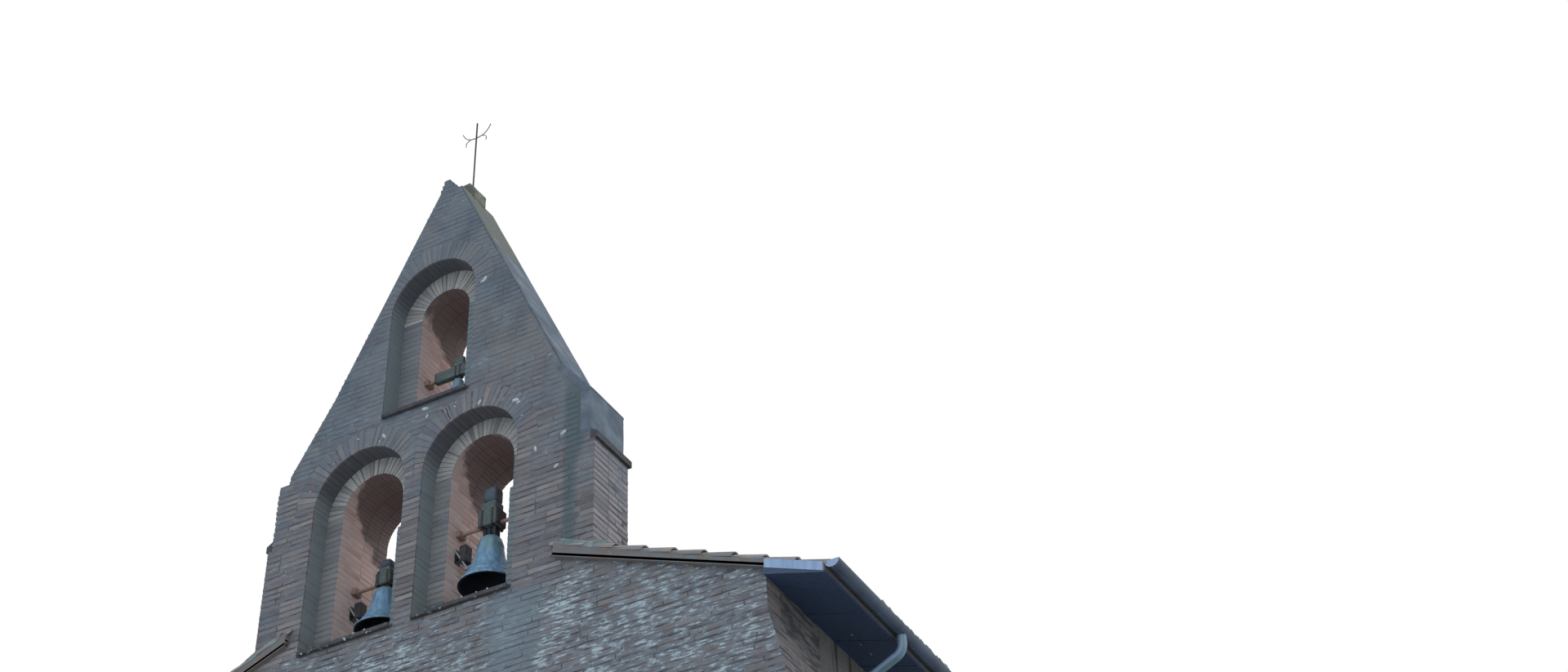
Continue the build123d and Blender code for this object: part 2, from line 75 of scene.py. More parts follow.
# x of the middle, outer radius, inner radius, sill, springing and the right jamb's set-in of each bell opening
OPENINGS = (
    (-0.956, 0.641, 0.426, SILL, SILL + 1.92, JAMB_SET_IN),
    (0.555, 0.641, 0.426, SILL, SILL + 1.92, JAMB_SET_IN),
    (-0.120, 0.613, 0.345, SILL + 2.88, SILL + 4.435, 0.0),
)

# Bricks of 42 x 28 x 5.3 cm in beds of lime mortar, with the skins of them on the walls and the rings of the arches
COURSE = SILL / 159
STRETCHER, HEADER, BRICK = 0.42, 0.28, 0.053
WHOLE = (STRETCHER, HEADER, BRICK)
HALF_BRICK, THREE_QUARTER = 0.21, 0.36
JOINT = 0.014
PROUD = 0.003
SKIN = 0.10
RING = 0.27

# Canal tiles: the half widths of the cover, channel and ridge tiles at their wide ends, and of the first two at the
# narrow end
TILE_LENGTH, TILE_SHOWN = 0.47, 0.37
TILE_PITCH = 0.232
COVER_HALF, CHANNEL_HALF, RIDGE_HALF, NARROW_HALF = 0.100, 0.098, 0.125, 0.080
TILE_THICK = 0.014

# Bits of white mortar and lime on the front face: x and height over the lower sills
WHITE_BITS = ((-0.105, 2.808), (0.655, 2.609), (1.187, 2.407), (1.15, 2.45), (0.627, 4.447), (0.60, 4.43),
              (-0.67, 2.637), (-0.073, 2.692), (1.444, 1.674), (1.80, 1.76), (1.72, 1.35))


def linear(colour):
    """An sRGB hex value as a linear colour."""
    parts = [int(colour[k:k + 2], 16) / 255 for k in (1, 3, 5)]
    return [*(p / 12.92 if p <= 0.04045 else ((p + 0.055) / 1.055) ** 2.4 for p in parts), 1]


def per(*sizes):
    """Repeats per metre of a pattern of that size in millimetres, or of those along X, Y and Z."""
    return [1000 / size for size in (sizes * 3)[:3]]


def add_node(tree, kind, inputs=(), out=0, stops=(), **settings):
    """Adds one node with its settings, its values and its links, and gives one of its outputs. A hex value stands for
    a colour. A Math node multiplies unless its call says otherwise. A Mix is one of colours: it takes its share at 0
    and its colours at 6 and 7, and gives them at 2. A noise has the scale of its coordinates, and five octaves."""
    made = tree.nodes.new("ShaderNode" + kind)
    if kind == "Mix":
        made.data_type, out = "RGBA", 2
    if kind == "Math":
        made.operation = "MULTIPLY"
    if kind == "TexNoise":
        inputs = {"Scale": 1.0, "Detail": 5.0, **inputs}
    for key, value in settings.items():
        setattr(made, key, value)
    for key, value in inputs.items() if isinstance(inputs, dict) else enumerate(inputs):
        if isinstance(value, bpy.types.NodeSocket):
            tree.links.new(value, made.inputs[key])
        else:
            made.inputs[key].default_value = linear(value) if isinstance(value, str) else value
    for k, (place, colour) in enumerate(stops):
        stop = made.color_ramp.elements[k] if k < 2 else made.color_ramp.elements.new(place)
        stop.position, stop.color = place, linear(colour)
    return made.outputs[out] if len(made.outputs) else made


def material(name, look, *given):
    """A new material. Its look gives its colour, its roughness, its bump with the depth of that in metres, and how
    metallic it is, if it is a metal."""
    made = bpy.data.materials.new(name)
    made.use_nodes = True
    made.node_tree.nodes.clear()
    add = partial(add_node, made.node_tree)
    colour, roughness, height, depth, metallic = (*look(add, add("TexCoord", out="Object"), *given), 0.0)[:5]
    bump = add("Bump", {"Height": height, "Strength": 1.0, "Distance": depth})
    shader = add("BsdfPrincipled", {"Base Color": colour, "Roughness": roughness, "Metallic": metallic, "Normal": bump})
    add("OutputMaterial", {"Surface": shader})
    return made


def patterned(add, place, sizes, detail, stops, roughness, depth, metallic=0.0):
    """The look of a finish whose colour and relief come from one pattern."""
    pattern = add("TexNoise", {0: add("Mapping", {0: place, 3: per(*sizes)}), "Detail": detail})
    return add("ValToRGB", (pattern,), stops=stops), roughness, pattern, depth, metallic


def weathering_and_recess_shade(add, place, colour, lichen, film):
    """Years on a wall that the sun never dries: a smooth blue-grey film of algae that closes over the courses higher
    up, pale lichen in flecks that follow them lower down, painted shade on the soffits of the openings' recesses, and a
    dark strip under the shoulder."""
    x, y, z = add("SeparateXYZ", (place,)).node.outputs
    _, ahead, up = add("SeparateXYZ", (add("NewGeometry", out="Normal"),)).node.outputs
    on_front = add("MapRange", (ahead, -0.3, -0.8))

    # The film: clouds broken by runs of water, more of it with height, browner where it is thin
    cloud = add("TexNoise", {0: add("Mapping", {0: place, 3: per(900, 900, 600)}), "Detail": 6.0, "Roughness": 0.62})
    runs = add("TexNoise", {0: add("Mapping", {0: place, 3: per(120, 120, 1200)}), "Detail": 3.0})
    runs = add("Math", (runs, 0.45, cloud), operation="MULTIPLY_ADD")
    higher = add("MapRange", (z, SILL + 0.2, SILL + 4.4, -0.03, 0.42))
    reach = add("Math", (runs, higher), operation="ADD")
    reach = add("MapRange", (reach, 0.74, 1.04, 0, film), interpolation_type="SMOOTHSTEP")
    brown = add("TexNoise", {0: add("Mapping", {0: place, 1: (3.1, 0.0, 5.7), 3: per(700, 700, 1100)}),
                             "Roughness": 0.6})
    tint = add("ValToRGB", (brown,), stops=((0.34, "#5c636b"), (0.5, "#696d72"), (0.64, "#75706e")))
    tint = add("Mix", {0: add("MapRange", (cloud, 0.52, 0.40, 0, 0.55)), 6: tint, 7: "#4b515a"})
    colour = add("Mix", {0: reach, 6: colour, 7: tint})

    # Lichen and old limewash on the wall under the bells, in flecks a few centimetres long: a haze, and white in it
    fleck = add("TexNoise", {0: add("Mapping", {0: place, 3: per(110, 110, 24)}), "Roughness": 0.7})
    patch = add("TexNoise", {0: add("Mapping", {0: place, 3: per(420)}), "Roughness": 0.65})
    reach = add("Math", (patch, 0.6, fleck), operation="MULTIPLY_ADD")
    lower = add("MapRange", (z, SILL + 0.35, SILL - 0.35, -0.10, 0.035))
    lower = add("Math", (lower, add("MapRange", (z, SILL - 2.4, SILL - 5.0, 0, 0.13))), operation="SUBTRACT")
    reach = add("Math", (reach, lower), operation="ADD")
    for start, end, most, tint in ((0.68, 0.92, 0.65, "#78828a"), (0.875, 0.955, 0.9, "#b0b7b7")):
        share = add("MapRange", (reach, start, end, 0, most * lichen), interpolation_type="SMOOTHSTEP")
        colour = add("Mix", {0: add("Math", (share, on_front)), 6: colour, 7: tint})

    # The broad run of lime and algae under the right opening's corner
    run = add("Math", (patch, 0.9, x), operation="MULTIPLY_ADD")
    run = add("Math", (run, 1.70), operation="SUBTRACT")
    run = add("Math", (run,), operation="ABSOLUTE")
    run = add("MapRange", (run, 0.42, 0.22, 0, 0.75 * lichen), interpolation_type="SMOOTHSTEP")
    for share in (add("MapRange", (z, SILL + 0.02, SILL - 0.12)), add("MapRange", (z, SILL - 1.5, SILL - 0.8)),
                  on_front):
        run = add("Math", (run, share))
    colour = add("Mix", {0: run, 6: colour, 7: "#727b80"})

    # Shade-grown algae on the recess of each opening, grey-green on its jambs, and painted shade on its soffit: where
    # the face looks down it is painted nearly black
    deep = add("MapRange", (y, FRONT + 0.008, FRONT + 0.03))
    aside = add("MapRange", (add("Math", (x,), operation="ABSOLUTE"), 1.78, 1.70))
    for share in (add("MapRange", (y, FRONT + RECESS + 0.012, FRONT + RECESS - 0.006)), aside, 0.82 * film):
        deep = add("Math", (deep, share))
    # Faces that look down get the near-black: painted shade under the arch
    algae_and_painted_shade = add("Mix", {0: add("MapRange", (up, -0.12, -0.5)), 6: "#78807f", 7: "#4d4a4d"})
    colour = add("Mix", {0: deep, 6: colour, 7: algae_and_painted_shade})

    # A dark green-grey strip down the front just inside the right shoulder, wider at its head
    strip = add("MapRange", (x, 1.78, 1.85))
    reach = add("Math", (x, add("MapRange", (z, SILL + 1.3, SILL + 1.9, 0, 0.2))), operation="SUBTRACT")
    for share in (add("MapRange", (reach, 2.02, 1.93)), add("MapRange", (z, SILL + 0.05, SILL + 0.4)),
                  add("MapRange", (z, SILL + 2.7, SILL + 2.2, 0, 0.8)),
                  add("MapRange", (y, FRONT + 0.03, FRONT + 0.012))):
        strip = add("Math", (strip, share))
    return add("Mix", {0: strip, 6: colour, 7: "#4e595b"})


def fired_brick(add, place, tones, lichen, film):
    """Hand-moulded facing brick, fired in a clamp: every brick its own tone, a sandy skin and no gloss."""
    tone = add("Attribute", attribute_name="tone", out="Fac")
    colour = add("ValToRGB", (tone,), stops=[(k / (len(tones) - 1), colour) for k, colour in enumerate(tones)])
    grain = add("TexNoise", {0: add("Mapping", {0: place, 3: per(16)})})
    colour = add("Mix", {0: add("MapRange", (grain, 0.4, 0.75, 0, 0.35)), 6: colour, 7: "#4a423f"})
    return weathering_and_recess_shade(add, place, colour, lichen, film), 0.92, grain, 0.003


def darker_under_arch(add, y, z, cloud):
    """Where the vault under each arch is coloured darker: lower towards the back, with a wandering edge."""
    fall = add("Math", (y, 0.9, -0.9 * (FRONT + 0.3)), operation="MULTIPLY_ADD")
    fall = add("Math", (cloud, 0.7, fall), operation="MULTIPLY_ADD")
    level = add("Math", (z, fall), operation="ADD")
    low_start = add("MapRange", (level, SILL + 2.53, SILL + 2.63))
    low_end = add("MapRange", (z, SILL + 2.85, SILL + 2.75))
    upper = add("MapRange", (level, SILL + 4.85, SILL + 5.0))
    return add("Math", (add("Math", (low_start, low_end, upper), operation="MULTIPLY_ADD"), 0.9))


def reveal_brick(add, place):
    """Brick inside the openings, kept dry: salmon where it is clean, in tones raised as painted light for the light
    that reaches in from behind, and darker under each arch.
    """
    _, y, z = add("SeparateXYZ", (place,)).node.outputs
    tone = add("Attribute", attribute_name="tone", out="Fac")
    # Tones set well above the front's bricks: painted light, for the light that reaches the reveals from behind
    colour = add("ValToRGB", (tone,), stops=((0.0, "#b98c7e"), (0.3, "#cda191"), (0.6, "#dcb4a4"), (1.0, "#e6c5b6")))
    cloud = add("TexNoise", {0: add("Mapping", {0: place, 3: per(330)}), "Roughness": 0.6})
    # Dust, grey where the rain reaches in, and the darker coat under each arch
    for share, tint in ((add("MapRange", (cloud, 0.42, 0.62, 0, 0.55)), "#c4ada3"),
                        (add("MapRange", (y, FRONT + 0.60, FRONT + 0.28, 0, 0.6)), "#b3a19a"),
                        (darker_under_arch(add, y, z, cloud), "#715d59")):
        colour = add("Mix", {0: share, 6: colour, 7: tint})
    return colour, 0.93, add("TexNoise", {0: add("Mapping", {0: place, 3: per(16)})}), 0.003


def lime_mortar(add, place):
    """Lime mortar with river sand, flush with the bricks in places and dark where rain has raked it out."""
    x, y, z = add("SeparateXYZ", (place,)).node.outputs
    colour = add("ValToRGB", (add("TexNoise", {0: add("Mapping", {0: place, 3: per(180)})}),),
                 stops=((0.3, "#635d5a"), (0.7, "#7c736d")))
    raked = add("MapRange", (add("TexNoise", {0: add("Mapping", {0: place, 3: per(320, 320, 60)}), "Detail": 3.0}),
                             0.46, 0.58, 0, 0.8))
    colour = weathering_and_recess_shade(add, place, add("Mix", {0: raked, 6: colour, 7: "#453f3f"}), 1.0, 0.9)
    raked = add("Math", (raked, add("MapRange", (z, SILL + 0.3, SILL - 0.2, 0.1, 0.6))))
    colour = add("Mix", {0: raked, 6: colour, 7: "#3b393d"})
    # In the openings the joints take the bricks' dust and their darker coat under each arch, in a pale tone that is
    # partly painted light, raised to cancel the shade in the joints
    aside = add("Math", (x,), operation="ABSOLUTE")
    opening = 0.0
    for half, head in ((1.42, 2.87), (0.48, 4.9)):
        beside, under = (add("Math", pair, operation="LESS_THAN") for pair in ((aside, half), (z, SILL + head)))
        opening = add("Math", (beside, under, opening), operation="MULTIPLY_ADD")
    for share in (add("MapRange", (y, FRONT + RECESS, FRONT + RECESS + 0.02)),
                  add("MapRange", (y, FRONT + WALL - 0.002, FRONT + WALL - 0.01))):
        opening = add("Math", (opening, share))
    cloud = add("TexNoise", {0: add("Mapping", {0: place, 3: per(330)}), "Roughness": 0.6})
    dust_and_painted_light = add("Mix", {0: darker_under_arch(add, y, z, cloud), 6: "#c4aa9f", 7: "#5c4d4b"})
    sand = add("TexNoise", {0: add("Mapping", {0: place, 3: per(6)}), "Detail": 2.0})
    return add("Mix", {0: opening, 6: colour, 7: dust_and_painted_light}), 0.95, sand, 0.002


def slope_mortar(add, place):
    """Mortar trowelled smooth over the edge of the gable: grey with algae, with moss that gathers under the cap."""
    z = add("SeparateXYZ", (place,), out=2)
    cloud = add("TexNoise", {0: add("Mapping", {0: place, 3: per(320)}), "Detail": 6.0, "Roughness": 0.6})
    colour = add("ValToRGB", (cloud,), stops=((0.32, "#4e545d"), (0.5, "#5d636b"), (0.66, "#71767d")))
    higher = add("MapRange", (z, SILL + 4.3, SILL + 5.8, -0.15, 0.32))
    moss = add("Math", (add("TexNoise", {0: add("Mapping", {0: place, 3: per(170)})}), higher), operation="ADD")
    colour = add("Mix", {0: add("MapRange", (moss, 0.5, 0.66)), 6: colour, 7: "#63625a"})
    return colour, 0.95, add("TexNoise", {0: add("Mapping", {0: place, 3: per(60)}), "Detail": 6.0}), 0.006


def fillet_mortar(add, place):
    """Mortar pressed into the angle between the tiles and the gable, greened by the damp that stands there."""
    cloud = add("TexNoise", {0: add("Mapping", {0: place, 3: per(140)}), "Detail": 6.0, "Roughness": 0.6})
    colour = add("ValToRGB", (cloud,), stops=((0.32, "#5f6464"), (0.5, "#757c79"), (0.66, "#8c918b")))
    return colour, 0.95, add("TexNoise", {0: add("Mapping", {0: place, 3: per(40)}), "Detail": 6.0}), 0.006


def wall_plaster(add, place):
    """Old lime render thrown on rubble: brown, with dark and pale rain streaks under the eaves, damp at its foot."""
    z = add("SeparateXYZ", (place,), out=2)
    colour = add("ValToRGB", (add("TexNoise", {0: add("Mapping", {0: place, 3: per(800)})}),),
                 stops=((0.3, "#5d5751"), (0.7, "#79746c")))
    streak = add("TexNoise", {0: add("Mapping", {0: place, 3: per(90, 90, 1400)}), "Detail": 4.0})
    near_eaves = add("MapRange", (z, 8.4, 10.6, 0.12, 0.9))
    for start, end, most, tint in ((0.48, 0.36, 1.0, "#3d3834"), (0.56, 0.74, 0.7, "#969189")):
        share = add("Math", (add("MapRange", (streak, start, end, 0, most)), near_eaves))
        colour = add("Mix", {0: share, 6: colour, 7: tint})
    colour = add("Mix", {0: add("MapRange", (z, 1.2, 0.0, 0, 0.6)), 6: colour, 7: "#4d4a3f"})
    return colour, 0.93, add("TexNoise", {0: add("Mapping", {0: place, 3: per(26)}), "Detail": 6.0}), 0.010


def canal_tile(add, place):
    """Hand-made canal tile, moulded over the thigh: warm grey-brown, fire-flashed, lichen on the backs."""
    tone = add("Attribute", attribute_name="tone", out="Fac")
    colour = add("ValToRGB", (tone,), stops=((0.0, "#756861"), (0.4, "#8a7c74"), (0.7, "#9a8b80"), (1.0, "#ab9c90")))
    for size, detail, start, end, most, tint in ((140, 5.0, 0.42, 0.66, 0.8, "#6f7478"),
                                                 (60, 6.0, 0.58, 0.68, 0.6, "#7b7d76")):
        share = add("MapRange", (add("TexNoise", {0: add("Mapping", {0: place, 3: per(size)}), "Detail": detail}),
                                 start, end, 0, most))
        colour = add("Mix", {0: share, 6: colour, 7: tint})
    return colour, 0.88, add("TexNoise", {0: add("Mapping", {0: place, 3: per(12)})}), 0.002


def thin_tile(add, place):
    """The dark thin tiles of the sill courses and shoulder slabs, the lower ones crumbed with white mortar."""
    z = add("SeparateXYZ", (place,), out=2)
    cloud = add("TexNoise", {0: add("Mapping", {0: place, 3: per(90)})})
    colour = add("ValToRGB", (cloud,), stops=((0.3, "#383639"), (0.7, "#504c4d")))
    crumb = add("TexNoise", {0: add("Mapping", {0: place, 3: per(70, 70, 30)}), "Detail": 4.0})
    crumb = add("MapRange", (crumb, 0.60, 0.66))
    crumb = add("Math", (crumb, add("MapRange", (z, SILL + 0.5, SILL + 0.4, 0, 0.8))))
    return add("Mix", {0: crumb, 6: colour, 7: "#9b9d9c"}), 0.9, cloud, 0.004


def mossy_stone(add, place):
    """Weathered limestone on the peak, under a cushion of moss and grey lichen."""
    colour = add("ValToRGB", (add("TexNoise", {0: add("Mapping", {0: place, 3: per(150)}), "Detail": 6.0}),),
                 stops=((0.3, "#68655a"), (0.7, "#868172")))
    moss = add("TexNoise", {0: add("Mapping", {0: place, 3: per(70)}), "Detail": 7.0})
    moss = add("MapRange", (moss, 0.42, 0.58, 0, 0.9))
    pits = add("TexNoise", {0: add("Mapping", {0: place, 3: per(26)}), "Detail": 7.0})
    return add("Mix", {0: moss, 6: colour, 7: "#605f4f"}), 0.96, pits, 0.012


def bell_bronze(add, place):
    """Cast bell bronze left out in the rain: a pale blue-grey patina that lies in runs, greener at the shoulder."""
    z = add("SeparateXYZ", (place,), out=2)
    runs = add("TexNoise", {0: add("Mapping", {0: place, 3: per(36, 36, 420)}), "Detail": 4.0})
    colour = add("ValToRGB", (runs,), stops=((0.3, "#5b7a94"), (0.55, "#7195b0"), (0.75, "#8caabd")))
    high = add("MapRange", (z, SILL + 0.6, SILL + 1.05, -0.08, 0.1))
    bloom = add("Math", (add("TexNoise", {0: add("Mapping", {0: place, 3: per(170)}), "Detail": 4.0}), high),
                operation="ADD")
    bloom = add("MapRange", (bloom, 0.5, 0.68, 0, 0.6))
    return add("Mix", {0: bloom, 6: colour, 7: "#6d8a80"}), 0.5, runs, 0.0008, 0.25


def galvanised_iron(add, place):
    """Hot-dip galvanised straps and arms: light grey with a faint spangle."""
    spangle = add("TexVoronoi", {"Vector": place, "Scale": per(14)[0]}, out="Distance")
    return add("ValToRGB", (spangle,), stops=((0.1, "#98a3ab"), (0.8, "#7b858d"))), 0.5, spangle, 0.0003, 0.4


def gutter_zinc(add, place):
    """Zinc gutters and downpipes with water marks: the gutter along the eaves painted dark as shade, the downpipes
    lighter, and the faces that look forward painted pale as a reflection of the sky.
    """
    z = add("SeparateXYZ", (place,), out=2)
    ahead = add("SeparateXYZ", (add("NewGeometry", out="Normal"),), out=1)
    marks = add("TexNoise", {0: add("Mapping", {0: place, 3: per(240)})})
    gutter_painted_shade = add("ValToRGB", (marks,), stops=((0.3, "#333a48"), (0.7, "#475062")))
    pipe = add("ValToRGB", (marks,), stops=((0.3, "#586c76"), (0.7, "#728894")))
    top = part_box("gutters_and_downpipes")[1].z
    # The gutter at the top in the dark colour: painted shade along the eaves
    colour = add("Mix", {0: add("MapRange", (z, top - 0.078, top - 0.084)), 6: gutter_painted_shade, 7: pipe})
    # Faces that look forward turn pale: a painted reflection of the sky
    colour = add("Mix", {0: add("MapRange", (ahead, -0.8, -0.95)), 6: colour, 7: "#8fa1ba"})
    return colour, 0.5, marks, 0.001, 0.2


def worn_stone(add, place):
    """Sawn limestone of the step, the sills and the floor, worn smooth."""
    colour = add("ValToRGB", (add("TexNoise", {0: add("Mapping", {0: place, 3: per(260)})}),),
                 stops=((0.3, "#857d71"), (0.7, "#a0988a")))
    return colour, 0.75, add("TexNoise", {0: add("Mapping", {0: place, 3: per(20)})}), 0.002


# The one clamp brick in its places: its tones, and its shares of the lichen and of the film
BRICKS = {
    "facade": (("#5e5455", "#6c6260", "#766b68", "#80746f", "#8c7c74"), 1.0, 0.75),
    "gable": (("#5d565a", "#6f6667", "#7b7170", "#887c78", "#958780"), 0.8, 1.0),
    "flank": (("#716a6c", "#7f7879", "#8a8181", "#958a88", "#9d8f8b"), 0.3, 0.5),
    "arch": (("#5e5659", "#736a6b", "#817876", "#8f8580", "#7b7270"), 0.45, 0.74),
    "voussoir": (("#807a76", "#9d9791", "#aca59e", "#bbb1a7", "#9e938b"), 0.3, 0.0),
    "recess": (("#6f6663", "#7f7571", "#8b7f7b", "#978a84", "#877e7a"), 0.3, 0.35),
}
# The finishes of one pattern: its size in millimetres and its octaves, its colours, the roughness, the relief in
# metres and, where it is a metal, how metallic
PATTERNED = {
    # The inside of a bell and its canons, blackened where no rain washes them, and the crack's painted shade
    "bell_soot_and_crack_shade": ((60,), 4.0, ((0.3, "#1c212c"), (0.7, "#2b313c")), 0.8, 0.0005, 0.1),
    # Forged bar left to the weather: near black, with rust coming through
    "wrought_iron": ((34,), 5.0, ((0.4, "#33363d"), (0.7, "#54463f")), 0.7, 0.001, 0.4),
    # Cast iron under a full coat of rust and brick dust
    "rusted_iron": ((28,), 5.0, ((0.35, "#86695d"), (0.7, "#a5867a")), 0.85, 0.001),
    # Oak headstocks, once painted green: silvered along the grain, with drying cracks
    "weathered_oak": ((180, 10, 10), 5.0, ((0.3, "#434a48"), (0.55, "#58625d"), (0.75, "#717871")), 0.85, 0.002),
    # Milled lead, dressed over wood and masonry: dull blue-grey with a soft bloom
    "lead_sheet": ((110,), 4.0, ((0.3, "#3c4450"), (0.7, "#545d69")), 0.6, 0.001, 0.3),
    # Oak door planks with worn brown paint, the grain standing proud
    "door_oak": ((9, 9, 190), 5.0, ((0.3, "#3d2c20"), (0.7, "#67503f")), 0.7, 0.0015),
    # Rolled zinc sheet: pale blue with grey water marks, the pale blue partly a painted reflection of the sky
    "rolled_zinc": ((70, 70, 500), 4.0, ((0.35, "#7f97ba"), (0.6, "#94a9c2"), (0.75, "#a9b8c8")), 0.5, 0.001, 0.2),
    # Boards under the eaves in old dark blue paint, close-jointed, with a dull sheen
    "soffit_board": ((220, 14, 14), 4.0, ((0.3, "#28364e"), (0.7, "#394962")), 0.55, 0.001),
    # Old cylinder glass, greenish and uneven, near black: painted shade for the dark room behind it
    "leaded_glass": ((120,), 2.0, ((0.3, "#232c2e"), (0.7, "#3a4747")), 0.12, 0.003),
    # Fresh lime mortar pressed out of a joint: chalky, off-white
    "white_mortar": ((30,), 4.0, ((0.3, "#9fa3a2"), (0.7, "#c3c5c2")), 0.95, 0.003),
}
MATERIALS = {f"{place}_brick": material(f"{place}_brick", fired_brick, *given) for place, given in BRICKS.items()}
MATERIALS.update((name, material(name, patterned, *given)) for name, given in PATTERNED.items())
MATERIALS.update((look.__name__, material(look.__name__, look)) for look in (
    reveal_brick, lime_mortar, slope_mortar, fillet_mortar, wall_plaster, canal_tile, thin_tile, mossy_stone,
    bell_bronze, galvanised_iron, gutter_zinc, worn_stone))


def placed(name, data, finishes, body):
    """Puts a mesh or a curve in the scene, in its finishes, and lets it ride with its body."""
    for finish in finishes:
        data.materials.append(MATERIALS[finish])
    made = bpy.data.objects.new(name, data)
    bpy.context.scene.collection.objects.link(made)
    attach(made, body)
    return made


def piece(name, bm, finishes, slot="brick", *nodes, body="church"):
    """Makes one object of a mesh, in its place, for the nodes that it stands for."""
    mesh = bpy.data.meshes.new(name)
    bm.to_mesh(mesh)
    bm.free()
    made = placed(name, mesh, finishes, body)
    if nodes:
        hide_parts(*nodes)


def join(bm, part):
    """Adds a mesh that was made apart to another."""
    mesh = bpy.data.meshes.new("part")
    part.to_mesh(mesh)
    part.free()
    bm.from_mesh(mesh)
    bpy.data.meshes.remove(mesh)


def unit_of(bm):
    """A small mesh to be laid many times, with a tone for each."""
    mesh = bpy.data.meshes.new("unit")
    bm.to_mesh(mesh)
    bm.free()
    mesh.attributes.new("tone", "FLOAT", "FACE")
    return mesh


def lay(bm, unit, place, tone):
    """Lays one copy of a unit into a mesh."""
    unit.attributes["tone"].data.foreach_set("value", [tone] * len(unit.polygons))
    unit.transform(place)
    bm.from_mesh(unit)
    unit.transform(place.inverted())


def bar(bm, low, high, rounding=0.0, turn=None, segments=2):
    """A squared bar between two corners, its edges rounded, turned about its middle."""
    low, high = Vector(low), Vector(high)
    place = Matrix.Translation((low + high) / 2) @ (turn or Matrix()) @ Matrix.Diagonal((*(high - low), 1))
    verts = bmesh.ops.create_cube(bm, size=1.0, matrix=place)["verts"]
    if rounding:
        edges = list(dict.fromkeys(edge for vert in verts for edge in vert.link_edges))
        bmesh.ops.bevel(bm, geom=edges, offset=rounding, offset_type="OFFSET", segments=segments, profile=0.5,
                        affect="EDGES", material=-1)


def between(side, near, far, middle=0):
    """Two reaches to one side of a middle, the lower place first."""
    return sorted((middle + side * near, middle + side * far))


def cone(bm, segments, radius, depth, place, far=None):
    """A solid round or six-sided piece along Z in its place, with another radius at its far end where it has one."""
    return bmesh.ops.create_cone(bm, cap_ends=True, segments=segments, radius1=radius, radius2=far or radius,
                                 depth=depth, matrix=place)["verts"]


def roughen(bm, *waves, swell=0.0):
    """Works a mesh over with noise: for each wave how high it stands and how many there are to a metre."""
    for vert in bm.verts:
        vert.co += vert.normal * (sum(high * noise.noise(vert.co * often) for high, often in waves) + swell)


def finer(bm, over, cuts):
    """Cuts the long edges of a mesh up, so that it can be roughened."""
    bmesh.ops.subdivide_edges(bm, edges=[edge for edge in bm.edges if edge.calc_length() > over], cuts=cuts,
                              use_grid_fill=True)


def turned(bm, outline, place, steps=32):
    """Spins an outline of radii and heights about the vertical, and sets it in its place."""
    verts = [bm.verts.new((radius, 0, height)) for radius, height in outline]
    edges = [bm.edges.new(pair) for pair in zip(verts, verts[1:])]
    bmesh.ops.spin(bm, geom=[*verts, *edges], cent=(0, 0, 0), axis=(0, 0, 1), angle=2 * math.pi, steps=steps,
                   use_merge=True, use_duplicate=False)
    bmesh.ops.remove_doubles(bm, verts=bm.verts, dist=0.0002)
    bmesh.ops.recalc_face_normals(bm, faces=bm.faces)
    bmesh.ops.translate(bm, verts=bm.verts, vec=place)


def rod(name, points, radius):
    """A smooth round iron rod along a few points."""
    curve = bpy.data.curves.new(name, "CURVE")
    curve.dimensions = "3D"
    curve.bevel_depth, curve.bevel_resolution, curve.resolution_u = radius, 2, 6
    curve.use_fill_caps = True
    spline = curve.splines.new("NURBS")
    spline.points.add(len(points) - 1)
    for point, place in zip(spline.points, points):
        point.co = (*place, 1)
    spline.order_u, spline.use_endpoint_u = 3, True
    placed(name, curve, ["wrought_iron"], "church")


def smooth(bm, finish=0):
    """Shades the faces of a mesh smoothly, in one of its finishes."""
    for face in bm.faces:
        face.smooth, face.material_index = True, finish


def faced(bm, front, inside):
    """Gives the faces of a brick that look forward one finish, and the rest of them another."""
    bm.normal_update()
    for face in bm.faces:
        face.material_index = inside if face.normal.y > -0.5 else front


def brick_unit(worn=0.0, front=0, inside=0):
    """A brick of size one about its middle, its edges knocked back as they are on a whole worn one."""
    bm = bmesh.new()
    bmesh.ops.create_cube(bm, size=1.0, matrix=Matrix.Diagonal((*WHOLE, 1)))
    if worn:
        bmesh.ops.bevel(bm, geom=bm.edges[:], offset=worn, offset_type="OFFSET", segments=1, profile=0.5,
                        affect="EDGES", material=-1)
    faced(bm, front, inside)
    bmesh.ops.scale(bm, vec=[1 / side for side in WHOLE], verts=bm.verts)
    return unit_of(bm)


def voussoir_unit(inner, outer, inside=0):
    """An arch brick of size one, radial along X, that widens outwards as its ring does."""
    bm = bmesh.new()
    bmesh.ops.create_cube(bm, size=1.0)
    for vert in bm.verts:
        if vert.co.x > 0:
            vert.co.z *= outer / inner
    faced(bm, 0, inside)
    return unit_of(bm)


# The last two are for edges and jambs, where the returned faces have a finish of their own
PLAIN, WORN = brick_unit(), brick_unit(0.003)
RETURN, RIGHT_JAMB = brick_unit(0.003, 0, 1), brick_unit(0.003, 2, 2)


def tone():
    """A brick's or a tile's own tone."""
    return min(max(random.gauss(0.5, 0.22), 0.02), 0.98)


def lay_in_ring(bm, unit, size, middle, angle, centre):
    """Lays an arch brick of a size about a centre, its middle at a radius and an angle, and lets go of its unit."""
    place = Matrix.Rotation(-angle, 4, "Y") @ Matrix.Translation((middle, 0, 0)) @ Matrix.Diagonal((*size, 1))
    lay(bm, unit, centre @ place, tone())
    bpy.data.meshes.remove(unit)


def plain_ring(bm, half, count, deep, centre):
    """A ring of bricks on edge over a doorway or a window of that half width."""
    for k in range(count):
        size = (RING, deep, math.pi * half / count * 0.82)
        angle = math.pi * (k + 0.5) / count
        lay_in_ring(bm, voussoir_unit(half, half + RING), size, half - PROUD + RING / 2, angle, centre)


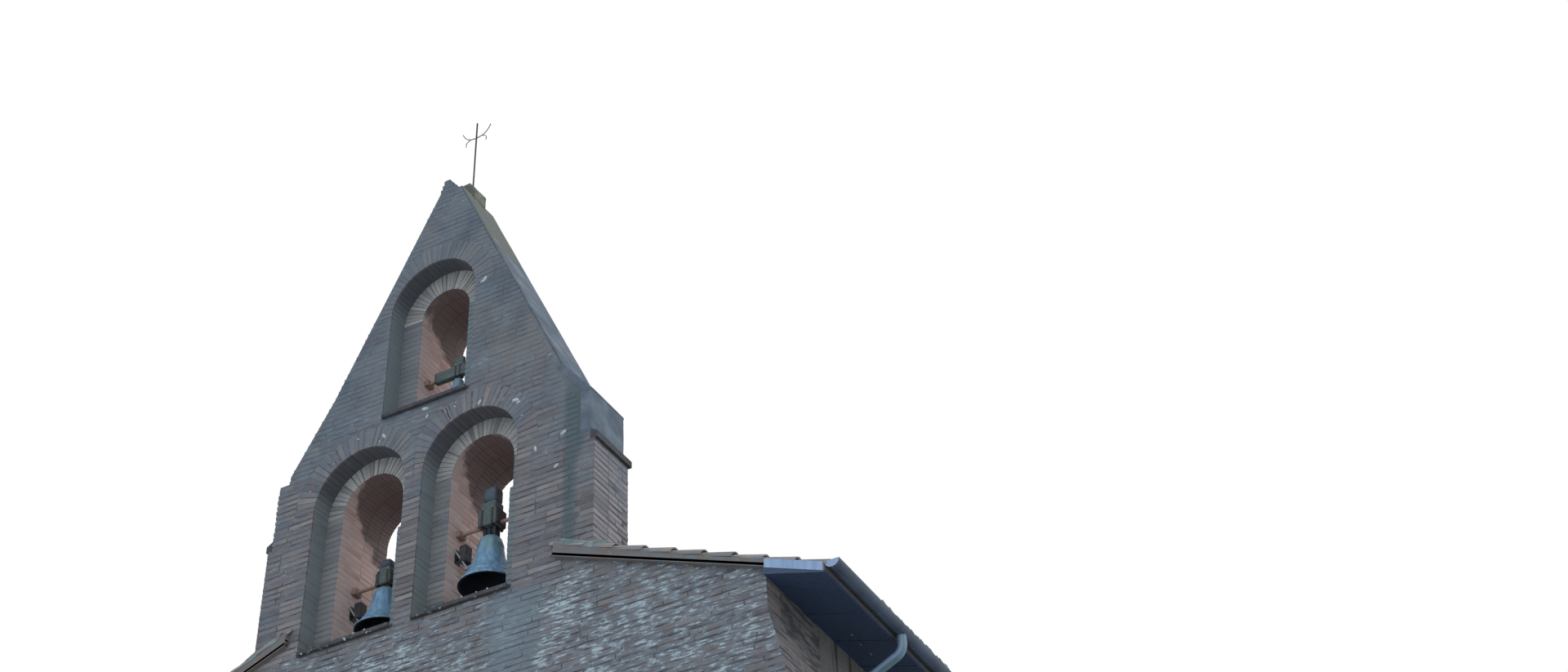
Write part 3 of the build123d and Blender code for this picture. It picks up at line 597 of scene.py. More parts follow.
def brick(bm, low, high, unit=PLAIN):
    """One brick between two corners, a touch out of true and never quite as thick as the next."""
    low, high = Vector(low), Vector(high)
    size = high - low
    size.z += random.gauss(0, 0.0025)
    turn = Matrix.Rotation(random.gauss(0, 0.006), 4, "Y")
    middle = (low + high) / 2 + Vector((0, 0, random.gauss(0, 0.0015)))
    lay(bm, unit, Matrix.Translation(middle) @ turn @ Matrix.Diagonal((*size, 1)), tone())


def run(start, end):
    """Bricks laid end to end between two points of a course."""
    laid, at = [], start
    length = random.choice((STRETCHER, HEADER, HALF_BRICK))
    while end - at > 0.02:
        stop = end if end - at - length < 0.13 else at + length
        laid.append((at, stop if stop == end else stop - JOINT))
        at = stop
        length = random.choice((STRETCHER, STRETCHER, STRETCHER, HEADER, THREE_QUARTER))
    return laid


def course(k):
    """The foot and the top of the bricks in a course."""
    foot = k * COURSE + (COURSE - BRICK) / 2
    return foot, foot + BRICK


def half_width(z, side):
    """Half the width of the front wall and the gable at a height."""
    shoulder, foot_half, foot, kink_half, kink, peak_half = SLOPES[side]
    if z >= kink:
        return peak_half + (PEAK - z) * (kink_half - peak_half) / (PEAK - kink)
    if z >= foot:
        return kink_half + (kink - z) * (foot_half - kink_half) / (kink - foot)
    if z >= shoulder:
        return foot_half
    if z >= BLOCK_TOP:
        return UPPER_HALF
    if z >= SILL:
        return BLOCK_HALF
    under_roof = BLOCK_HALF + (SILL - z) / SLOPE
    if under_roof < HALF_WIDTH:
        return under_roof
    return HALF_WIDTH + min(max((BUTTRESS_TOP - z) * BUTTRESS_BATTER, 0), BUTTRESS_WIDTH)


def rear_half_width(z, side):
    """Half the width of the gable's rear leaf, or None above its top."""
    _, foot_half, foot, _, _, _ = SLOPES[side]
    half = half_width(z, side)
    if foot > z >= BLOCK_TOP:
        half = foot_half + (BLOCK_HALF - foot_half) * (foot - z) / (foot - BLOCK_TOP)
    return half - REAR_INSET if half - REAR_INSET > REAR_TOP_HALF else None


def brick_edge(z, side):
    """How far the front's bricks reach: on the right the smooth wash of the slope laps over them."""
    edge = half_width(z, side)
    if side > 0 and z > COPING_TOP:
        edge -= max(0.0, min(0.15, 0.15 * (SILL + 3.9 - z) / 1.6))
    return edge


def half_chord(radius, z, spring):
    """Half the width of a round-headed opening at a height, or None above its crown."""
    if z <= spring:
        return radius
    return math.sqrt(radius ** 2 - (z - spring) ** 2) if z - spring < radius else None


def clear_of(spans, low, high):
    """Spans of a course with one more opening taken out."""
    left = []
    for a, b in spans:
        if low > a:
            left.append((a, min(b, low)))
        if high < b:
            left.append((max(a, high), b))
    return [(a, b) for a, b in left if b - a > 0.04]


def past_openings(spans, z, front):
    """Spans of a course beside the bell openings and their arch rings, on the front or on the back."""
    for x, outer, inner, foot, spring, _ in OPENINGS:
        if z > foot:
            side = outer if front else inner
            reach = half_chord(side + (RING if z > spring else 0), z, spring)
            if reach:
                spans = clear_of(spans, x - reach, x + reach)
    return spans


def past_door(spans, z):
    """Spans of a course beside the doorway and its arch."""
    reach = half_chord(DOOR_HALF + (RING if z > DOOR_SPRING else 0), z, DOOR_SPRING)
    return clear_of(spans, -reach, reach) if reach else spans


def front_brickwork():
    """The front face from the ground to the peak, and the ends of its courses down both edges of the gable."""
    facade, gable, flank = bmesh.new(), bmesh.new(), bmesh.new()
    for k in range(int(PEAK / COURSE)):
        z0, z1 = course(k)
        z = (z0 + z1) / 2
        bm = gable if z > SILL else facade
        left_edge, right_edge = -brick_edge(z1, -1), brick_edge(z1, 1)
        spans = past_openings([(left_edge, right_edge)], z, True)
        for start, end in past_door(spans, z):
            for a, b in run(start, end):
                at_edge = a == left_edge or b == right_edge
                beside_opening = (a == start or b == end) and not at_edge
                depth = HEADER if at_edge else RECESS - 0.004 if beside_opening and z > SILL else SKIN
                y = FRONT - PROUD - random.uniform(-0.0015, 0.0025)
                rough = random.uniform(0, 0.012) if z > BLOCK_TOP else 0
                brick(bm, (a - (PROUD + rough if a == left_edge else 0), y, z0),
                      (b + (PROUD if b == right_edge and z < BLOCK_TOP else 0), FRONT + depth, z1),
                      PLAIN if z < SILL - 2.2 else RETURN if at_edge and z > SILL else WORN)
        if z < SILL:
            continue
        for side in (-1, 1):
            # Over its slab the right edge is trowelled smooth, the left one shows the ends of its courses
            if side > 0 and z > BLOCK_TOP:
                continue
            edge = half_width(z1, side)
            cut = FRONT + random.choice((STRETCHER, 0.48, 0.56))
            for a, b in ((FRONT + 0.29, cut), (cut + JOINT, FRONT + GABLE + PROUD)):
                out = edge + PROUD + random.uniform(-0.004, 0.004)
                low, high = between(side, edge - 0.14, out)
                brick(flank, (low, a, z0), (high, b, z1), WORN)
    piece("facade_brickwork", facade, ["facade_brick"])
    piece("gable_brickwork", gable, ["gable_brick", "flank_brick"])
    piece("flank_brickwork", flank, ["flank_brick"])


def buttress_brickwork():
    """The outer faces of the four corner buttresses and their returns against the side walls."""
    bm = bmesh.new()
    for k in range(int(BUTTRESS_TOP / COURSE) - 1):
        z0, z1 = course(k)
        for side in (-1, 1):
            edge = half_width(z1, side)
            for y0, y1 in ((FRONT + 0.115, FRONT + BUTTRESS_LENGTH), (BACK - BUTTRESS_LENGTH, BACK)):
                for a, b in run(y0, y1 + (PROUD if y1 < BACK else 0)):
                    low, high = between(side, edge - SKIN, edge + PROUD + random.uniform(-0.003, 0.003))
                    brick(bm, (low, a, z0), (high, b, z1))
            if edge > HALF_WIDTH + 0.12:
                low, high = between(side, HALF_WIDTH, edge - 0.11)
                for y in (FRONT + BUTTRESS_LENGTH, BACK - BUTTRESS_LENGTH):
                    y0, y1 = (y - 0.08, y + PROUD) if y < 0 else (y - PROUD, y + 0.08)
                    for a, b in run(low, high):
                        brick(bm, (a, y0, z0), (b, y1, z1))
            # The corners of the back wall in bonded brick, as wide as the buttresses stand out
            quoin = edge - 0.11 - (STRETCHER if k % 2 else HEADER)
            low, high = between(side, quoin, edge - 0.005)
            for a, b in run(low, high):
                brick(bm, (a, BACK - SKIN, z0), (b, BACK + PROUD, z1))
    piece("buttress_brickwork", bm, ["facade_brick"])


def back_brickwork():
    """The gable's back over the roof: its rear leaf, and what shows of the front leaf beside and above it."""
    bm = bmesh.new()
    for k in range(int(SILL / COURSE), int(PEAK / COURSE)):
        z0, z1 = course(k)
        z = (z0 + z1) / 2
        left, right = half_width(z1, -1), half_width(z1, 1)
        rear_left, rear_right = rear_half_width(z1, -1), rear_half_width(z1, 1)
        bare = [(-left, right)]
        if rear_left and rear_right:
            bare = [(-left, -rear_left), (rear_right, right)]
            for start, end in past_openings([(-rear_left, rear_right)], z, False):
                for a, b in run(start, end):
                    y = FRONT + WALL + PROUD + random.uniform(-0.002, 0.002)
                    brick(bm, (a, y - 0.08, z0), (b, y, z1))
            for side, rear in ((-1, rear_left), (1, rear_right)):
                low, high = between(side, rear - SKIN, rear + PROUD)
                for a, b in run(FRONT + GABLE + 0.01, FRONT + WALL - 0.085):
                    brick(bm, (low, a, z0), (high, b, z1))
        worn_off = max(0.0, (z1 - PEAK + 0.36) / 0.36) * 0.219
        for start, end in bare:
            for a, b in run(start, end):
                y = FRONT + GABLE + PROUD - worn_off + random.uniform(-0.002, 0.002)
                brick(bm, (a, y - 0.08, z0), (b, y, z1))
    piece("gable_back_brickwork", bm, ["flank_brick"])


def inner_order():
    """The second order of each opening: its face in the recess, and the bricks of its reveals."""
    face, reveal = bmesh.new(), bmesh.new()
    for x, outer, inner, foot, spring, set_in in OPENINGS:
        rows = [course(k) for k in range(math.ceil((foot + 0.045) / COURSE), int(spring / COURSE))]
        # A last thin course, or a thicker one, closes up to the springing
        last, top = rows[-1]
        if spring - top > 0.05:
            rows.append((top + JOINT, spring - 0.008))
        else:
            rows[-1] = (last, spring - 0.010)
        for k, (z0, z1) in enumerate(rows):
            for side in (-1, 1):
                jamb = x + side * (inner - PROUD)
                if side > 0 and z1 < JAMB_LEDGE:
                    jamb -= set_in
                back = x + side * (outer + 0.03)
                ends = [FRONT + RECESS - PROUD]
                ends += [FRONT + at + random.uniform(-0.03, 0.03) for at in (0.40 + 0.08 * (k % 2), 0.68, 0.93)]
                ends.append(FRONT + WALL + PROUD)
                for number, (a, b) in enumerate(zip(ends, ends[1:])):
                    worn = jamb + side * random.uniform(-0.002, 0.002)
                    low, high = sorted((worn, back))
                    unit = (RETURN if side < 0 else RIGHT_JAMB) if number == 0 else WORN if number == 1 else PLAIN
                    brick(reveal if number else face, (low, a, z0), (high, b if number == 3 else b - JOINT, z1), unit)
    piece("recess_brickwork", face, ["recess_brick", "reveal_brick", "gable_brick"])
    piece("reveal_brickwork", reveal, ["reveal_brick"])


def arch_rings():
    """The arch bricks of both orders: radial, on edge, cut short where two rings or the gable's edge meet."""
    middle = (OPENINGS[0][0] + OPENINGS[1][0]) / 2
    outer_ring, inner_ring, vault = bmesh.new(), bmesh.new(), bmesh.new()
    for number, (x, outer, inner, _, spring, _) in enumerate(OPENINGS):
        depth = outer - inner + 0.04
        for radius, length, y0, y1, bm, count, inside in (
            (outer, RING, FRONT - PROUD, FRONT + RECESS, outer_ring, 32, 0),
            (inner, depth, FRONT + RECESS - PROUD, FRONT + 0.455, inner_ring, 29, 1),
            (inner, depth, FRONT + 0.467, FRONT + 0.70, vault, 29, 0),
            (inner, RING, FRONT + 0.712, FRONT + 0.93, vault, 29, 0),
            (inner, RING, FRONT + 0.942, FRONT + WALL + PROUD, vault, 29, 0),
        ):
            start = radius - PROUD
            for k in range(count):
                angle = math.pi * (k + 0.5) / count
                end = start + length + random.uniform(-0.012, 0.012)
                while end > start + 0.05:
                    px, pz = x + end * math.cos(angle), spring + end * math.sin(angle)
                    beyond = number < 2 and (px - middle) * (x - middle) < 0
                    side = 1 if px > 0 else -1
                    edge = rear_half_width(pz, side) if y0 > FRONT + 0.7 else brick_edge(pz, side)
                    if edge and abs(px) < edge - 0.02 and not beyond:
                        break
                    end -= 0.01
                if end <= start + 0.05:
                    continue
                size = (end - start, y1 - y0, math.pi * start / count * random.gauss(0.82, 0.03))
                angle -= random.gauss(0, 0.008)
                shift = random.uniform(-0.002, 0.002) if y0 < FRONT + 0.4 else 0
                lay_in_ring(bm, voussoir_unit(start, end, inside), size, start + (end - start) / 2, angle,
                            Matrix.Translation((x, (y0 + y1) / 2 + shift, spring)))
    piece("outer_arch_rings", outer_ring, ["arch_brick"])
    piece("inner_arch_rings", inner_ring, ["voussoir_brick", "reveal_brick"])
    piece("arch_soffit_bricks", vault, ["reveal_brick"])


def slope_wash():
    """The right edge of the gable over its slab, trowelled smooth with rounded arrises from the shoulder to the
    cap."""
    bm = bmesh.new()
    shoulder, _, _, kink_half, kink, peak_half = SLOPES[1]
    path = ((UPPER_HALF, COPING_TOP - 0.05), (UPPER_HALF, shoulder), (kink_half, kink), (peak_half, PEAK - 0.02))
    for (x0, z0), (x1, z1), lap, over in zip(path, path[1:], (0.15, 0.11, 0.035), (0.0, 0.03, 0.03)):
        length = math.hypot(x1 - x0, z1 - z0)
        lean = math.atan2(x1 - x0, z1 - z0)
        inward = Vector((-math.cos(lean), 0, math.sin(lean)))
        middle = Vector(((x0 + x1) / 2, FRONT + GABLE / 2, (z0 + z1) / 2)) + inward * (lap / 2 - 0.011)
        half = Vector((lap / 2, GABLE / 2 + 0.004, length / 2 + over))
        bar(bm, middle - half, middle + half, 0.022, Matrix.Rotation(lean, 4, "Y"), 3)
    finer(bm, 0.4, 9)
    roughen(bm, (0.005, 4))
    smooth(bm)
    piece("slope_wash_mortar", bm, ["slope_mortar"])


def doorway_brickwork():
    """The ring of bricks on edge over the doorway and the bricks of its reveals."""
    bm = bmesh.new()
    plain_ring(bm, DOOR_HALF, 36, 0.30, Matrix.Translation((0, FRONT - PROUD + 0.15, DOOR_SPRING)))
    for k in range(2, int(DOOR_SPRING / COURSE)):
        z0, z1 = course(k)
        for side in (-1, 1):
            low, high = between(side, DOOR_HALF - PROUD, DOOR_HALF + 0.1)
            brick(bm, (low, FRONT + DOOR_IN, z0), (high, FRONT + 0.31, z1))
    piece("doorway_brickwork", bm, ["facade_brick"])


def window_surrounds():
    """Brick jambs and round heads on edge about the side windows, with stone sills."""
    bm, sills = bmesh.new(), bmesh.new()
    for side in (-1, 1):
        for y in WINDOW_PLACES:
            x0, x1 = between(side, HALF_WIDTH - 0.15, HALF_WIDTH + 0.004)
            for k in range(math.ceil(WINDOW_SILL / COURSE), int(WINDOW_SPRING / COURSE)):
                z0, z1 = course(k)
                for way in (-1, 1):
                    reach = WINDOW_HALF + (STRETCHER if k % 2 else HEADER)
                    low, high = between(way, WINDOW_HALF - PROUD, reach, y)
                    brick(bm, (x0, low, z0), (x1, high, z1))
            head = Matrix.Translation(((x0 + x1) / 2, y, WINDOW_SPRING)) @ Matrix.Rotation(math.pi / 2, 4, "Z")
            plain_ring(bm, WINDOW_HALF, 21, x1 - x0, head)
            low, high = between(side, HALF_WIDTH + 0.03, HALF_WIDTH - 0.17)
            bar(sills, (low, y - WINDOW_HALF, WINDOW_SILL - 0.002), (high, y + WINDOW_HALF, WINDOW_SILL + 0.035),
                0.006)
    piece("window_brickwork", bm, ["facade_brick"])
    piece("window_sill_stones", sills, ["worn_stone"], "floor_stone")


def window_leads():
    """Lead cames over the glass in small quarries, and the iron saddle bars that hold them."""
    leads, bars = bmesh.new(), bmesh.new()
    radius = WINDOW_HALF - 0.004
    for side in (-1, 1):
        x = side * (HALF_WIDTH - GLASS_IN)
        for y in WINDOW_PLACES:
            for across in (k * 0.15 for k in range(-2, 3)):
                top = WINDOW_SPRING + math.sqrt(radius ** 2 - across ** 2)
                bar(leads, (x - 0.008, y + across - 0.006, WINDOW_SILL + 0.03), (x + 0.008, y + across + 0.006, top))
            z = WINDOW_SILL + 0.2
            while z < WINDOW_SPRING + WINDOW_HALF - 0.06:
                reach = half_chord(radius, z, WINDOW_SPRING)
                bar(leads, (x - 0.008, y - reach, z - 0.006), (x + 0.008, y + reach, z + 0.006))
                z += 0.2
            for z in (WINDOW_SILL + 0.6, WINDOW_SILL + 1.2, WINDOW_SILL + 1.8, WINDOW_SPRING):
                outer = x + side * 0.014
                bar(bars, (outer - 0.008, y - WINDOW_HALF + 0.002, z - 0.012),
                    (outer + 0.008, y + WINDOW_HALF - 0.002, z + 0.012), 0.003)
    piece("window_cames", leads, ["lead_sheet"], "wrought_iron")
    piece("saddle_bars", bars, ["wrought_iron"], "wrought_iron")


def door_dressing():
    """Planks, hinge straps, studs and a ring handle on the front of the door leaves."""
    planks, iron = bmesh.new(), bmesh.new()
    low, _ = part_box("door_leaves")
    y = low.y
    width = (DOOR_HALF - 0.004) / 5
    for k in range(-5, 5):
        a, b = k * width + 0.003, (k + 1) * width - 0.003
        reach = max(abs(a), abs(b))
        top = DOOR_SPRING + math.sqrt(max(DOOR_HALF ** 2 - reach ** 2, 0.0))
        bar(planks, (a, y - 0.018, low.z + 0.004), (b, y + 0.004, top - 0.006), 0.004)
    for side in (-1, 1):
        for z in (0.5, 1.3, 2.1):
            a, b = between(side, DOOR_HALF - 0.01, 0.12)
            bar(iron, (a, y - 0.026, z - 0.03), (b, y - 0.016, z + 0.03), 0.003)
            for k in range(6):
                x = side * (0.16 + 0.12 * k)
                head = Matrix.Translation((x, y - 0.027, z)) @ Matrix.Diagonal((1, 0.5, 1, 1))
                bmesh.ops.create_icosphere(iron, subdivisions=1, radius=0.014, matrix=head)
    ring_x, ring_z = 0.10, 1.12
    section = Matrix.Translation((ring_x + 0.05, y - 0.036, ring_z))
    round_bar = bmesh.ops.create_circle(iron, radius=0.006, segments=8, matrix=section)["verts"]
    round_bar += list(dict.fromkeys(edge for vert in round_bar for edge in vert.link_edges))
    bmesh.ops.spin(iron, geom=round_bar, cent=(ring_x, y - 0.036, ring_z), axis=(0, 1, 0), angle=2 * math.pi, steps=20,
                   use_merge=True, use_duplicate=False)
    bmesh.ops.recalc_face_normals(iron, faces=iron.faces)
    piece("door_planks", planks, ["door_oak"], "painted_oak")
    piece("door_ironwork", iron, ["wrought_iron"], "wrought_iron")


def canal_unit(length, wide, narrow):
    """A canal tile along X with its back up, its wide end at low X."""
    bm = bmesh.new()
    bmesh.ops.create_cone(bm, cap_ends=False, segments=14, radius1=wide, radius2=narrow, depth=length)
    bmesh.ops.rotate(bm, verts=bm.verts, matrix=Matrix.Rotation(math.pi / 2, 3, "Y"))
    bmesh.ops.bisect_plane(bm, geom=bm.verts[:] + bm.edges[:] + bm.faces[:], plane_co=(0, 0, 0.12 * wide),
                           plane_no=(0, 0, 1), clear_inner=True)
    for face in bm.faces:
        if face.normal.z < 0 and face.calc_center_median().z > 0.5 * narrow:
            bmesh.ops.reverse_faces(bm, faces=bm.faces)
            break
    bmesh.ops.solidify(bm, geom=bm.faces[:], thickness=TILE_THICK)
    bmesh.ops.translate(bm, verts=bm.verts, vec=(0, 0, -0.12 * wide))
    return unit_of(bm)


def roof_tiles():
    """Both slopes in canal tile: channel tiles hollow side up, cover tiles over their joints."""
    _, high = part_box("right_roof")
    eaves = high.x
    cover = canal_unit(TILE_LENGTH, COVER_HALF, NARROW_HALF)
    channel = canal_unit(TILE_LENGTH, CHANNEL_HALF, NARROW_HALF)
    angle = math.atan(SLOPE)
    start_y = FRONT + WALL + 0.10
    rows = int((high.y - start_y) / TILE_PITCH)
    courses = int(math.hypot(eaves, eaves * SLOPE) / TILE_SHOWN) + 1
    well_low, well_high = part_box("bell_landing")
    for side, name in ((-1, "left"), (1, "right")):
        covers, channels = bmesh.new(), bmesh.new()
        for row in range(rows + 1):
            for unit, bm, offset, flip, lift in (
                (cover, covers, 0.0, 1, 0.030), (channel, channels, 0.5, -1, 0.068),
            ):
                y = start_y + (row + offset) * TILE_PITCH
                if y > high.y - 0.06:
                    continue
                for k in range(courses):
                    along = k * TILE_SHOWN + random.uniform(-0.012, 0.012)
                    reach = eaves - (along + TILE_LENGTH / 2 - 0.02) * math.cos(angle)
                    if reach < 0.12:
                        continue
                    if well_low.x - 0.24 < side * reach < well_high.x + 0.24 and y < well_high.y + 0.10:
                        continue
                    z = SILL + SLAB + SLOPE * (BLOCK_HALF - reach) + lift
                    sideways = Matrix.Rotation(random.gauss(0, 0.01), 4, "Z")
                    tip = Matrix.Rotation(-angle + 0.026 * flip, 4, "Y")
                    turn = Matrix.Rotation(math.pi if side < 0 else 0, 4, "Z")
                    over = Matrix.Rotation(0 if flip > 0 else math.pi, 4, "X")
                    place = Matrix.Translation((side * reach, y, z)) @ turn @ sideways @ tip @ over
                    lay(bm, unit, place @ Matrix.Rotation(math.pi, 4, "Z"), tone())
        piece(f"{name}_cover_tiles", covers, ["canal_tile"], "canal_tile")
        piece(f"{name}_channel_tiles", channels, ["canal_tile"], "canal_tile")


def verge_tiles():
    """Cover tiles down both front verges and both back ones, on a bed of mortar that thickens up the slope."""
    angle = math.atan(VERGE_SLOPE)
    cover = canal_unit(TILE_LENGTH, CHANNEL_HALF, NARROW_HALF)
    verge, bed, drip_shadow, fillet = (bmesh.new() for _ in range(4))
    _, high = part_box("verges")
    eaves = high.x
    head = 1.74
    eaves_z = SILL + SLAB + SLOPE * (BLOCK_HALF - eaves)
    back_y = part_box("right_roof")[1].y
    for side in (-1, 1):
        rows = [(FRONT + at, BLOCK_HALF + 0.2) for at in (0.26, 0.49, 0.72)]
        for y, stop in ((FRONT + 0.03, head + 0.12), *rows, (FRONT + 0.95, BLOCK_HALF), (back_y - 0.09, 0.2)):
            k = 0
            while True:
                reach = eaves - (k * TILE_SHOWN + TILE_LENGTH / 2 - 0.02) * math.cos(angle)
                if reach < stop:
                    break
                z = eaves_z + (VERGE_SLOPE if y < 0 else SLOPE) * (eaves - reach) - 0.035
                turn = Matrix.Rotation(math.pi if side > 0 else 0, 4, "Z")
                tip = Matrix.Rotation(-angle + 0.045 + random.gauss(0, 0.008), 4, "Y")
                place = Matrix.Translation((side * reach, y, z)) @ turn @ tip
                lay(verge, cover, place, tone())
                k += 1
        # The bed under the front row, the dark tiles that it stands on, which also paint the shadow line under the
        # verge, and the fillets against the gable's front and its flank. Each has its inner and outer reach, its front
        # there and its back, and its foot and its top
        low_in, low_out = (eaves_z + SLOPE * (eaves - reach) for reach in (head, eaves - 0.03))
        drip_shadow_in = eaves_z + SLOPE * (eaves - (head - 0.01)) - 0.076
        up_in, up_out, bed_in, bed_out, flank_in, flank_out = (
            eaves_z + VERGE_SLOPE * (eaves - reach) for reach in (
                head + 0.08, BLOCK_HALF + 0.02, head, eaves - 0.03, BLOCK_HALF - 0.02, BLOCK_HALF + 0.24))
        for bm, *ends in (
            (bed, (head, -0.052, 0, low_in - 0.02, max(bed_in - 0.015, low_in - 0.01)),
             (eaves - 0.03, -0.052, 0.10, low_out - 0.02, max(bed_out - 0.015, low_out - 0.01))),
            (drip_shadow, (head - 0.01, -0.060, 0.05, drip_shadow_in, drip_shadow_in + 0.032),
             (eaves - 0.03, -0.060, 0.05, low_out - 0.076, low_out - 0.044)),
            (fillet, (head + 0.08, -0.056, 0.02, up_in - 0.04, up_in + 0.02, 0.065),
             (BLOCK_HALF + 0.02, -0.056, 0.02, up_out - 0.04, up_out + 0.02, 0.065)),
            (fillet, (BLOCK_HALF - 0.02, 0.005, GABLE + 0.03, flank_in + 0.01, flank_in + 0.11),
             (BLOCK_HALF + 0.24, 0.005, GABLE + 0.03, flank_out - 0.035, flank_out + 0.065)),
        ):
            for vert in bmesh.ops.create_cube(bm, size=1.0)["verts"]:
                reach, near, far, foot, top, *lift = ends[vert.co.x > 0]
                rise = lift[0] if lift and vert.co.y > 0 else 0
                vert.co = (side * reach, FRONT + (far if vert.co.y > 0 else near),
                           (top if vert.co.z > 0 else foot) + rise)
    for bm in (bed, drip_shadow, fillet):
        bmesh.ops.recalc_face_normals(bm, faces=bm.faces)
    finer(fillet, 0.3, 7)
    for vert in fillet.verts:
        vert.co.z += 0.012 * noise.noise(vert.co * 9)
    piece("verge_tile_rows", verge, ["canal_tile"], "canal_tile")
    piece("verge_mortar_bed", bed, ["canal_tile"], "mortar")
    piece("verge_drip_shadow_tiles", drip_shadow, ["thin_tile"], "thin_tile")
    piece("gable_foot_fillets", fillet, ["fillet_mortar"], "mortar")


def ridge_cover():
    """Wide cover tiles along the ridge, the last one first."""
    ridge = bmesh.new()
    cap = canal_unit(TILE_LENGTH, RIDGE_HALF, RIDGE_HALF - 0.020)
    low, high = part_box("ridge_tiles")
    y = high.y - TILE_LENGTH / 2 + 0.02
    while y > low.y + TILE_LENGTH / 2:
        turn = Matrix.Rotation(-math.pi / 2, 4, "Z") @ Matrix.Rotation(0.035, 4, "Y")
        lay(ridge, cap, Matrix.Translation((0, y, high.z - 0.07)) @ turn, tone())
        y -= TILE_SHOWN
    piece("ridge_cover_tiles", ridge, ["canal_tile"], "canal_tile")


def eaves_fittings():
    """Cover strips across the soffit boards, brackets under the gutters and clamps on the downpipes."""
    strips, iron = bmesh.new(), bmesh.new()
    low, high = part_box("soffits")
    wall, edge = HALF_WIDTH, high.x
    wall_z, edge_z = SILL - SLOPE * (wall - BLOCK_HALF) - 0.09, SILL - SLOPE * (edge - BLOCK_HALF) - 0.03
    tilt = math.atan2(wall_z - edge_z, edge - wall)
    length = math.hypot(edge - wall, wall_z - edge_z)
    _, gutter_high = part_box("gutters_and_downpipes")
    gutter_x, gutter_z = gutter_high.x - 0.08, gutter_high.z
    for side in (-1, 1):
        middle = Vector((side * (wall + edge) / 2, 0, (wall_z + edge_z) / 2))
        turn = Matrix.Rotation(side * tilt, 4, "Y")
        y = low.y + 0.30
        while y < high.y - 0.2:
            at = middle + Vector((0, y, 0))
            half = Vector((length / 2 - 0.01, 0.022, 0.006))
            bar(strips, at - half, at + half, 0.002, turn)
            y += 0.62
        y = low.y + 0.25
        while y < high.y - 0.1:
            strap = bmesh.new()
            for width in (-0.014, 0.014):
                strap.verts.new((0.0815, width, 0))
            strap.verts.ensure_lookup_table()
            edges = [strap.edges.new(strap.verts[:])]
            bmesh.ops.spin(strap, geom=[*strap.verts, *edges], cent=(0, 0, 0), axis=(0, 1, 0), angle=math.pi,
                           steps=10, use_merge=False, use_duplicate=False)
            bmesh.ops.recalc_face_normals(strap, faces=strap.faces)
            bmesh.ops.solidify(strap, geom=strap.faces[:], thickness=0.003)
            bmesh.ops.translate(strap, verts=strap.verts, vec=(side * gutter_x, y, gutter_z))
            join(iron, strap)
            y += 0.8
        pipe_x, pipe_y = side * (HALF_WIDTH + 0.075), FRONT + 1.5
        for z in (0.6, 2.4, 4.2, 6.0, 7.8, 9.4):
            cone(iron, 24, 0.056, 0.03, Matrix.Translation((pipe_x, pipe_y, z)))
            near, far = between(side, HALF_WIDTH - 0.01, HALF_WIDTH + 0.03)
            bar(iron, (near, pipe_y - 0.015, z - 0.015), (far, pipe_y + 0.015, z + 0.015))
    piece("soffit_cover_strips", strips, ["soffit_board"], "soffit_board")
    piece("gutter_brackets", iron, ["gutter_zinc"], "zinc")


# A bell's outer side as shares of its mouth's radius and its height, with a raised wire at the sound bow and two
# under the shoulder, and then its inner side
BELL_OUTSIDE = ((0.93, 0.0), (1.0, 0.004), (1.0, 0.022), (0.955, 0.06), (0.84, 0.15), (0.80, 0.18), (0.805, 0.19),
                (0.78, 0.20), (0.70, 0.28), (0.634, 0.375), (0.55, 0.473), (0.49, 0.60), (0.45, 0.72), (0.435, 0.77),
                (0.445, 0.78), (0.430, 0.79), (0.425, 0.81), (0.436, 0.82), (0.42, 0.83), (0.405, 0.86),
                (0.366, 0.93), (0.28, 0.977), (0.14, 0.995), (0.0, 1.0))
BELL_INSIDE = ((0.0, 0.91), (0.20, 0.90), (0.33, 0.84), (0.38, 0.70), (0.42, 0.58), (0.48, 0.455), (0.56, 0.355),
               (0.69, 0.20), (0.86, 0.06), (0.93, 0.0))


